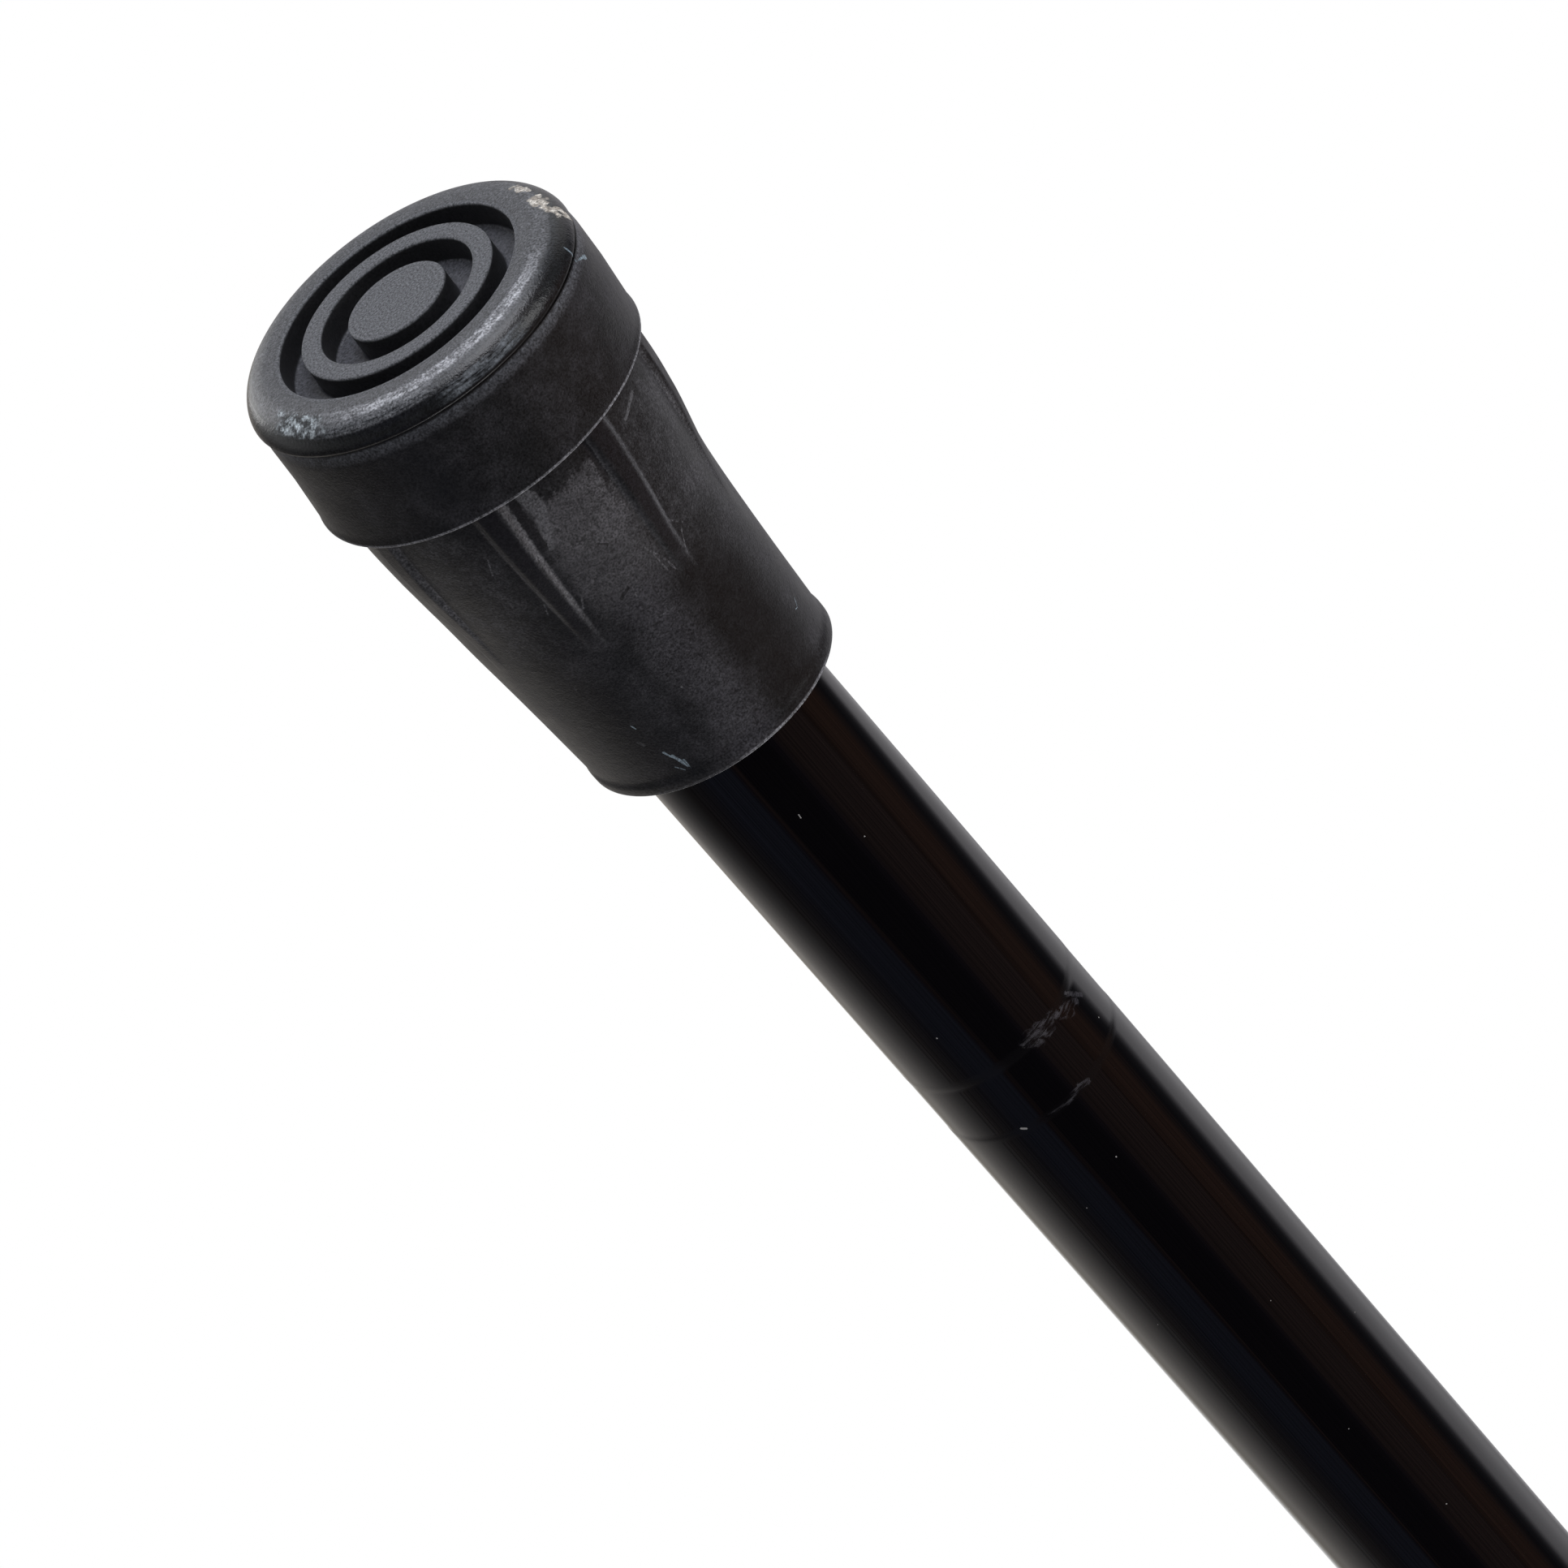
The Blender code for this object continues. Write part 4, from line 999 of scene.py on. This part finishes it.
ENAMEL, tree = new_finish("stoved_black_enamel")
where = in_mm(tree)
specks = add(tree, "TexVoronoi", {"Vector": where, "Scale": 1 / 2.4}).node.outputs
few = add(tree, "Math", (add(tree, "SeparateColor", [specks["Color"]]), 0.8), **MORE_THAN)
dust = mask(tree, few, add(tree, "MapRange", (specks["Distance"], 0.035, 0.02)))
across = add(tree, "VectorMath", (where, (0.35, 0.35, 1.6)), **TIMES)
wipes = {"Vector": across, "Scale": 1 / 0.7, "Detail": 5.0, "Roughness": 0.7}
wipes = add(tree, "TexNoise", wipes)
broken = add(tree, "MapRange", (wipes, 0.45, 0.62))
# The strokes are scuffs and painted reflection at once.
rubbed = mask(tree, strokes(tree, where, RING_EDGE_SCUFFS_AND_REFLECTION, wipes, 1.2), 0.22, broken)
dust = add(tree, "Math", (dust, strokes(tree, where, BRIGHT_DOTS, wipes, 0.4)), **MOST)
colour = laid_over(tree, linear("030304"), (rubbed, "68656c"), (dust, "8a8785"))
print("enamel:", len(tree.nodes), "nodes so far")

# %% Its gloss, duller at the rolled ring's edges, and the ripple of the drawn tube
height = add(tree, "SeparateXYZ", [where]).node.outputs["Z"]
rolled = mask(tree, (height, 94.0, 94.8, 0.5)), mask(tree, (height, 101.5, 102.1, 0.4))
rolled = add(tree, "Math", rolled, **MOST)
soiled = add(tree, "Math", (dust, rubbed), **MOST)
clouds = add(tree, "TexNoise", {"Vector": where, "Scale": 1 / 9, "Detail": 3.0})
rough = add(tree, "MapRange", (clouds, 0.3, 0.8, 0.035, 0.085))
for duller, by in (rolled, 0.15), (soiled, 0.5):
    rough = add(tree, "Math", (duller, by, rough), **TIMES_PLUS)
along = add(tree, "VectorMath", (where, (1.0, 1.0, 0.012)), **TIMES)
ripple = add(tree, "TexNoise", {"Vector": along, "Scale": 1 / 0.9, "Detail": 1.0})
bump = add(tree, "Bump", {"Height": ripple, "Strength": 0.06, "Distance": 0.1 * MM})
looks = {"Base Color": colour, "Roughness": rough, "Normal": bump}
add(tree, "OutputMaterial", [add(tree, "BsdfPrincipled", looks)])
print("enamel:", len(tree.nodes), "nodes")

# %% [markdown]
# ## The tubes
# Each tube is cut square, its edges broken, and shallow rings are rolled through its wall to
# hold what is inside: the cord's plug, or the spigot that the tube carries. In the photograph
# one such ring crosses the tube above the foot. Where the solids start and end is read from
# the frame, so that the tubes stay where the joints need them.


# %% A drawn tube with rolled rings
TUBE_R, TUBE_BORE = 9.5, 8.3
ROLL_DEPTH, ROLL_FLANK = 0.03, 0.5


def standing(node):
    """The height of a solid's lower end in metres, and how tall it is in mm."""
    lower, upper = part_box(node)
    return lower.z, (upper.z - lower.z) / MM


def middle_of(node):
    """The height of a solid's middle in metres."""
    lower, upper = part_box(node)
    return (lower.z + upper.z) / 2


def tube_outline(length, outer, bore, rolls=()):
    """Up the outside, with a shallow round-edged ring at each (middle, width), down the bore."""
    outline = [(bore, 0), (outer, 0, 0.25)]
    for middle, width in sorted(rolls):
        low, high, sunk = middle - width / 2, middle + width / 2, outer - ROLL_DEPTH
        outline += [(outer, low, 0.3), (sunk, low + ROLL_FLANK, 0.3)]
        outline += [(sunk, high - ROLL_FLANK, 0.3), (outer, high, 0.3)]
    return outline + [(outer, length, 0.25), (bore, length)]


def make_tube(name, node, rides, rolls, size=(TUBE_R, TUBE_BORE)):
    base, length = standing(node)
    rolls = [((z - base) / MM, width) for z, width in rolls]
    shape = spun(tube_outline(length, *size, rolls), base, 160)
    return piece(name, shape, ENAMEL, rides, "enamelled_tube", node)


# %% The three lower tubes
ANCHOR_RING = (0.0982, 7.5)  # height in metres, width in mm
SPIGOT_RING_BELOW, SPIGOT_RING = 0.014, 2.4
for section in ("lower", "lower_middle", "upper_middle"):
    node = f"{section}_tube"
    rolls = [(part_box(node)[1].z - SPIGOT_RING_BELOW, SPIGOT_RING)]
    if section == "lower":
        rolls.append(ANCHOR_RING)
    make_tube(f"{section}_shaft", node, f"{section}_body", rolls)

# %% [markdown]
# ## The sliding tubes
# The adjusting tube has one hole for the snap button, and the handle tube has five for it to
# snap into. They are drilled with Boolean cutters: a drilled hole in a thin round wall has an
# edge that no spun outline can give.


# %% Adjusting tube and handle tube with their drilled holes
HANDLE_TUBE_R, HANDLE_TUBE_BORE = 11.0, 9.8
HOLE_R, HOLES, HOLE_PITCH = 3.6, 5, 25.4
BUTTON_Z = middle_of("snap_button")


def rod(radius, depth, place, segments=64):
    """A cylinder about Z, its radius and depth in mm, turned and moved by a matrix."""
    shape = bmesh.new()
    size = {"radius1": radius * MM, "radius2": radius * MM, "depth": depth * MM}
    bmesh.ops.create_cone(shape, cap_ends=True, segments=segments, matrix=place, **size)
    return shape


def drill(height, radius, reach, start=0.0):
    """A drill that comes in from -Y at a height, from reach to start in front of the axis."""
    deep = reach - start
    place = Matrix.Translation((0, -(start + deep / 2) * MM, height))
    return rod(radius, deep, place @ Matrix.Rotation(math.pi / 2, 4, "X"))


plug_ring = (middle_of("cord_top_plug"), SPIGOT_RING)
sliding = make_tube("sliding_shaft", "adjusting_tube", "adjuster_body", [plug_ring])
carve(sliding, [drill(BUTTON_Z, HOLE_R, 14)])
handle_size = (HANDLE_TUBE_R, HANDLE_TUBE_BORE)
grip_shaft = make_tube("grip_shaft", "handle_tube", "handle_body", [], handle_size)
heights = [BUTTON_Z + (i - HOLES // 2) * HOLE_PITCH * MM for i in range(HOLES)]
carve(grip_shaft, [drill(z, HOLE_R, 16) for z in heights])

# %% [markdown]
# ## The other finishes
# Spigots are bare turned aluminium, with fine lathe lines round them. The button, its spring,
# the handle's pin and the foot's washer are nickel-plated steel. Rings, bushes, plugs, sleeve
# and collar are moulded acetal, with a slight waxy gloss. The handle is moulded nylon with a
# fine spark-eroded texture. The cord is rubber thread under a braided polyester cover. Real
# lathe lines and mould grain are finer than the render can show, so they are drawn 0.12 to
# 0.5 mm coarse, as coarse as they need to show.


# %% Turned aluminium and nickel plate
def make_turned_metal(name, light, dull, roughness, line_mm):
    """Gives the eye bare metal with fine lines round it and a slightly clouded shine."""
    material, tree = new_finish(name)
    where = in_mm(tree)
    around = add(tree, "VectorMath", (where, (0.02, 0.02, 1.0)), **TIMES)
    lines = add(tree, "TexNoise", {"Vector": around, "Scale": 1 / line_mm, "Detail": 2.0})
    clouds = add(tree, "TexNoise", {"Vector": where, "Scale": 1 / 4, "Detail": 3.0})
    dulled = add(tree, "MapRange", (clouds, 0.35, 0.75), **SOFT)
    colour = laid_over(tree, linear(light), (dulled, dull))
    rough = add(tree, "MapRange", (lines, 0.25, 0.75, roughness * 0.75, roughness * 1.3))
    bump = add(tree, "Bump", {"Height": lines, "Strength": 0.25, "Distance": 0.02 * MM})
    looks = {"Base Color": colour, "Metallic": 1.0, "Roughness": rough, "Normal": bump}
    add(tree, "OutputMaterial", [add(tree, "BsdfPrincipled", looks)])
    return material


ALUMINIUM = make_turned_metal("turned_aluminium", "cfd1d2", "b3b5b8", 0.3, 0.12)
NICKEL = make_turned_metal("nickel_plated_steel", "c9c4ba", "aba69d", 0.16, 0.3)


# %% Moulded plastics
def make_moulded(name, dark, light, roughness, grain_mm, depth_mm):
    """Gives the eye near-black plastic with a soft sheen and an even fine grain."""
    material, tree = new_finish(name)
    where = in_mm(tree)
    clouds = add(tree, "TexNoise", {"Vector": where, "Scale": 1 / 11, "Detail": 3.0})
    grain = add(tree, "TexNoise", {"Vector": where, "Scale": 1 / grain_mm, "Detail": 2.0})
    paler = add(tree, "MapRange", (clouds, 0.35, 0.75), **SOFT)
    colour = laid_over(tree, linear(dark), (paler, light))
    rough = add(tree, "MapRange", (clouds, 0.2, 0.8, roughness * 0.9, roughness * 1.15))
    bump = add(tree, "Bump", {"Height": grain, "Strength": 0.5, "Distance": depth_mm * MM})
    looks = {"Base Color": colour, "Roughness": rough, "IOR": 1.48, "Normal": bump}
    add(tree, "OutputMaterial", [add(tree, "BsdfPrincipled", looks)])
    return material


ACETAL = make_moulded("moulded_acetal", "17181a", "1f2022", 0.38, 0.5, 0.01)
NYLON = make_moulded("textured_nylon", "141517", "1d1e20", 0.46, 0.35, 0.03)

# %% Braided cord cover
STRANDS = 8.0  # each way round the cord, 1.6 mm apart on its 4 mm
STRANDS_CLIMB = 6.0  # radians of a strand's wave per mm of cord


def make_braid(name, follows=None):
    """Gives the eye crossing dark threads; the pattern may follow an attribute of the mesh."""
    material, tree = new_finish(name)
    if follows:
        where = add(tree, "Attribute", out="Vector", attribute_name=follows)
    else:
        where = in_mm(tree)
    parts = add(tree, "SeparateXYZ", [where]).node.outputs
    around = add(tree, "Math", (parts["Y"], parts["X"]), operation="ARCTAN2")
    turns = add(tree, "Math", (around, STRANDS), **TIMES)
    rise = add(tree, "Math", (parts["Z"], STRANDS_CLIMB), **TIMES)
    ways = [add(tree, "Math", (turns, rise), **way) for way in (PLUS, MINUS)]
    ways = [add(tree, "Math", [way], operation="SINE") for way in ways]
    strands = add(tree, "Math", ways, **MOST)
    shade = add(tree, "MapRange", (strands, -0.4, 1.0))
    colour = laid_over(tree, linear("0c0c0d"), (shade, "2b2b2d"))
    bump = add(tree, "Bump", {"Height": strands, "Strength": 0.8, "Distance": 0.15 * MM})
    looks = {"Base Color": colour, "Roughness": 0.7, "Sheen Weight": 0.3, "Normal": bump}
    add(tree, "OutputMaterial", [add(tree, "BsdfPrincipled", looks)])
    return material


BRAID = make_braid("braided_polyester_cover", "on_the_cord")
KNOTTED_BRAID = make_braid("knotted_polyester_cover")
print("materials:", len(bpy.data.materials))

# %% [markdown]
# ## The spigot joints
# Each of the three lower tubes carries a bare spigot on its top. A plastic ring closes the
# seam with the tube above, and a flared bush keeps the cord off the spigot's edge. All three
# joints are the same, so they are made in a loop.

# %% Spigots, joint rings and guide bushes
SPIGOT_R, SPIGOT_BORE = 8.0, 7.0
CORD_R, CORD_HOLE = 2.0, 2.3
FIT = 0.3  # mm of room between pieces that touch
BUSH_LIP = 1.6
JOINTS = {"lower": "lower_body", "middle": "lower_middle_body", "upper": "upper_middle_body"}


def turned(name, node, corners, material, body, slot, steps=128):
    """A turned piece as tall as its solid; corners is a function of that height in mm."""
    base, tall = standing(node)
    return piece(name, spun(corners(tall), base, steps), material, body, slot, node)


def spigot(tall):
    return [(SPIGOT_BORE, 0), (SPIGOT_R, 0, 0.3), (SPIGOT_R, tall, 0.2), (SPIGOT_BORE, tall)]


def seam_ring(tall):
    inner = SPIGOT_R + FIT
    return [(inner, 0), (TUBE_R, 0, 0.35), (TUBE_R, tall, 0.35), (inner, tall)]


def flared_bush(tall):
    neck, under_lip = SPIGOT_BORE - FIT, tall - BUSH_LIP
    outline = [(CORD_HOLE, 0), (neck, 0, 0.3), (neck, under_lip), (SPIGOT_R, under_lip, 0.15)]
    return outline + [(SPIGOT_R, tall, 1.2), (CORD_HOLE, tall, 1.25)]


for joint, body in JOINTS.items():
    metal = (ALUMINIUM, body, "bare_aluminium")
    plastic = (ACETAL, body, "acetal")
    turned(f"{joint}_bare_spigot", f"{joint}_spigot", spigot, *metal)
    turned(f"{joint}_seam_ring", f"{joint}_joint_ring", seam_ring, *plastic)
    turned(f"{joint}_cord_bush", f"{joint}_guide_bush", flared_bush, *plastic, 96)

# %% [markdown]
# ## The elastic cord
# One cord runs from the plug in the adjusting tube to the plug above the foot. Between two
# drawn sections it bends like a U when they fold, and inside a tube it shortens when a joint
# is drawn shut. A stretch that bends or shortens has many rings where it does.


# %% A stretch of cord
def stretch(name, node, rings_mm, drawn=1):
    """A round cord; its cover's pattern follows the cord, drawn out by a factor when it bends."""
    base, length = standing(node)
    outline = [(0, 0), (CORD_R, 0, 0.25), (CORD_R, length, 0.25), (0, length)]
    shape = spun(outline, base, 24, rings_mm)
    cover = shape.verts.layers.float_vector.new("on_the_cord")
    for corner in shape.verts:
        x, y, z = corner.co / MM
        corner[cover] = (x, y, (z - base / MM) * drawn)
    return piece(name, shape, BRAID, None, "elastic_cord", node)


# %% Stretches that stay straight: one rides, and three more
RINGS_APART = 4
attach(stretch("cord_in_lower_tube", "elastic_cord_lower", 0), "lower_body")
DRAWS = {
    "top": ("adjuster_body", "upper_link"),
    "upper": ("upper_middle_body", "middle_link"),
    "middle": ("lower_middle_body", "lower_link"),
}
for section, (above, link) in DRAWS.items():
    node = f"elastic_cord_{section}"
    made = stretch(f"cord_in_{section}_tube", node, RINGS_APART)
    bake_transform(made)

# %% [markdown]
# At a fold, only the few millimetres between the upper tube's mouth and the spigot's bush
# bend, and a half turn draws them out to many times their length. So the rings stand very
# close there, and the cover's pattern is laid out longer in advance. The middle joint folds
# to +X.

# %% Stretches at the three folds
FOLDS = {
    "upper": ("upper_link", "upper_middle_body", "adjusting_tube"),
    "middle": ("middle_link", "lower_middle_body", "upper_middle_tube"),
    "lower": ("lower_link", "lower_body", "lower_middle_tube"),
}
TURNS_FROM_BELOW = "middle"
BEND_RINGS_APART, BEND_DRAWN = 0.06, 16  # mm at rest, and times its length at a half turn
for joint, (link, section, socket) in FOLDS.items():
    tip = (0, 0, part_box(f"{joint}_guide_bush")[1].z)
    node = f"elastic_cord_at_{joint}_joint"
    made = stretch(f"cord_at_{joint}_fold", node, BEND_RINGS_APART, BEND_DRAWN)
    if joint == TURNS_FROM_BELOW:
        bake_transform(made)
    else:
        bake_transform(made)

# %% [markdown]
# ## The clamp
# Under the handle tube sits a split sleeve whose four fingers the fluted ring squeezes on the
# sliding tube. The ring's flutes give a thumb its grip.


# %% Flutes pressed into a ring
FLUTES, FLUTE_DEEP = 18, 0.75
FLUTE_WIDE, FLUTE_RUN_OUT = 0.72, 1.5  # a share of their spacing, and mm


def scallop(shape, outer, low_z, high_z):
    """Presses round flutes into the points of an outer wall between two heights."""
    for corner in shape.verts:
        x, y, z = corner.co
        radius = math.hypot(x, y) / MM
        if radius < outer - 0.6 or not low_z < z < high_z:
            continue
        turn = math.atan2(y, x) * FLUTES / math.tau
        wave = abs(turn - round(turn)) * 2
        end = min(z - low_z, high_z - z) / MM
        inward = FLUTE_DEEP * ease(1 - wave / FLUTE_WIDE) * ease(end / FLUTE_RUN_OUT)
        corner.co.x *= 1 - inward / radius
        corner.co.y *= 1 - inward / radius


# %% Fluted ring
SLEEVE_R, RING_R = 12.9, 15.0
RING_SHOULDER, RING_FLOOR, THREAD_TO = 4.8, 2.7, 9.0
base, tall = standing("clamp_ring")
inner, thread = HANDLE_TUBE_BORE + FIT, SLEEVE_R + FIT
outline = [(inner, 0, 0.3), (RING_R - 1.8, 0, 0.6), (RING_R, RING_SHOULDER, 0.8)]
outline += [(RING_R, tall, 0.9), (thread, tall, 0.3), (thread, THREAD_TO)]
outline += [(SLEEVE_R - 1.2, RING_FLOOR), (inner, RING_FLOOR)]
ring = spun(outline, base, FLUTES * 16, 0.8)
scallop(ring, RING_R, base + 4.5 * MM, base + (tall - 0.8) * MM)
piece("fluted_clamp_ring", ring, ACETAL, "clamp_ring_body", "acetal", "clamp_ring")


# %% Split sleeve
SLEEVE_CONE, FINGER_TIP = 6.0, 1.45


def sleeve(tall):
    under_tube = (standing("handle_tube")[0] - standing("clamp_sleeve")[0]) / MM - FIT
    outer, inner = HANDLE_TUBE_R + FIT, HANDLE_TUBE_BORE
    outline = [(inner, 0), (SLEEVE_R - FINGER_TIP, 0, 0.15), (SLEEVE_R, SLEEVE_CONE)]
    outline += [(SLEEVE_R, tall, 0.4), (outer, tall, 0.2), (outer, under_tube)]
    return outline + [(inner, under_tube)]


turned("split_clamp_sleeve", "clamp_sleeve", sleeve, ACETAL, "handle_body", "acetal")

# %% [markdown]
# ## The snap button
# A plated pin with a domed end, turned like a rivet, with a flange behind that stops it from
# falling out of its hole. It is spun about Z and then laid over to point along -Y.

# %% Domed button
FLANGE_R, FLANGE_THICK = 3.9, 0.8
PIN_R, PIN_LONG, DOME = 3.0, 6.9, 1.1
outline = [(0, 0), (FLANGE_R, 0, 0.1), (FLANGE_R, FLANGE_THICK, 0.1), (PIN_R, FLANGE_THICK)]
button = spun(outline + [(PIN_R, PIN_LONG, DOME), (0, PIN_LONG)], 0, 64)
tip = -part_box("snap_button")[0].y - PIN_LONG * MM
bmesh.ops.translate(button, verts=button.verts, vec=(0, 0, tip))
into_its_hole = Matrix.Translation((0, 0, BUTTON_Z)) @ Matrix.Rotation(math.pi / 2, 4, "X")
bmesh.ops.transform(button, matrix=into_its_hole, verts=button.verts)
piece("domed_button", button, NICKEL, "button_body", "plated_steel", "snap_button")

# %% [markdown]
# ## The handle
# The handle is shaped for a palm: a nose in front, a rising saddle, and a broad rest behind.
# It is modelled as a coarse cage, one block with faces pulled out step by step, which a
# Subdivision Surface rounds. The neck's end keeps a creased edge, where a trim ring covers it.


# %% The cage's block, in mm above the neck's end
NECK_R, NECK_DEEP = 13.6, 13.8
SHRINKS = 0.93  # a square rounded by subdivision keeps about this share of its half-width
CAGE_LOW, CAGE_HIGH = 14.88, 39.22
neck_end = standing("handle")[0]
half_long, half_deep = NECK_R / SHRINKS, NECK_DEEP / SHRINKS
cage = bmesh.new()
bmesh.ops.create_cube(cage, size=1)
for corner in cage.verts:
    corner.co.x *= 2 * half_long
    corner.co.y *= 2 * half_deep
    corner.co.z = CAGE_HIGH if corner.co.z > 0 else CAGE_LOW
print(f"block: {2 * half_long:.1f} x {2 * half_deep:.1f} mm")

# %% Pulling out the nose, the palm rest and the neck
NOSE_REACH, PALM_REACH = 47, 66  # mm from the stick's axis
# Each step: a share of the way, mm aside and up, and the scale of the face.
NOSE = [
    ((0.35, 0, 0.5), (1, 0.92, 0.86)),
    ((0.4, 0, -3.5), (1, 0.86, 0.86)),
    ((0.33, 0, -4.5), (1, 0.66, 0.66)),
]
PALM = [
    ((0.22, 0, 0.8), (1, 0.94, 0.86)),
    ((0.3, 0, 0.6), (1, 1.12, 0.98)),
    ((0.3, 0, -3.6), (1, 1.0, 0.94)),
    ((0.22, 0, -4.6), (1, 0.62, 0.6)),
]
# The neck's steps: a share of the way down, and the scale across.
NECK = [(0.35, half_long / half_deep), (0.62, 1), (0.03, 1)]


def grow(shape, face, shift, scale):
    """Extrudes a face, scales it about its middle and moves it."""
    face = bmesh.ops.extrude_discrete_faces(shape, faces=[face])["faces"][0]
    middle = face.calc_center_median()
    for corner in face.verts:
        away = corner.co - middle
        corner.co = middle + Vector(a * s for a, s in zip(away, scale)) + Vector(shift)
    return face


faces = {tuple(round(c) for c in face.normal): face for face in cage.faces}
nose, palm = (faces[1, 0, 0], NOSE_REACH - half_long), (faces[-1, 0, 0], half_long - PALM_REACH)
for (face, way), steps in (nose, NOSE), (palm, PALM):
    for (share, aside, up), scale in steps:
        face = grow(cage, face, (way * share, aside, up), scale)
neck = faces[0, 0, -1]
for share, squeeze in NECK:
    neck = grow(cage, neck, (0, 0, -CAGE_LOW * share), (1, squeeze, 1))
crease = cage.edges.layers.float.new("crease_edge")
for edge in neck.edges:
    edge[crease] = 1
print("cage:", len(cage.faces), "faces")

# %% Rounding the cage, and cutting the socket and the pin's hole
SOCKET_DEEP = 24
PIN_HOLE_R = 1.8
to_place = Matrix.Translation((0, 0, neck_end)) @ Matrix.Scale(MM, 4)
bmesh.ops.transform(cage, matrix=to_place, verts=cage.verts)
palm_handle = piece("palm_handle", cage, NYLON, "handle_body", "moulded_grip", "handle")
rounding = palm_handle.modifiers.new("round", "SUBSURF")
rounding.levels = rounding.render_levels = 4
bake(palm_handle)
socket = rod(HANDLE_TUBE_R + FIT, 2 * SOCKET_DEEP, Matrix.Translation((0, 0, neck_end)), 128)
carve(palm_handle, [socket, drill(middle_of("handle_pin"), PIN_HOLE_R, 30, -30)])


# %% Trim collar
def collar(tall):
    inner, outer = HANDLE_TUBE_R + FIT, 13.5
    outline = [(inner, 0, 0.1), (12.4, 0, 0.4), (outer, 2.1, 1.0)]
    return outline + [(outer, tall, 0.4), (inner, tall, 0.1)]


turned("trim_collar", "handle_collar", collar, ACETAL, "handle_body", "acetal")

# %% [markdown]
# ## Pieces that stay as they are
# The cap, plugs, knots, spring, washer and pin are inside or too small to show facets. They
# keep their solids and get the finishes made above.

# %% Finishes for the solids that stay
KEPT = {
    "handle_pin": NICKEL,
    "adjusting_tube_cap": ACETAL,
    "button_spring": NICKEL,
    "cord_top_plug": ACETAL,
    "cord_top_knot": KNOTTED_BRAID,
    "cord_anchor_plug": ACETAL,
    "cord_anchor_knot": KNOTTED_BRAID,
    "ferrule_washer": NICKEL,
}
for node, material in KEPT.items():
    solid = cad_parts[node]
    solid.data.materials.clear()
    solid.data.materials.append(material)
print("kept solids:", len(KEPT))
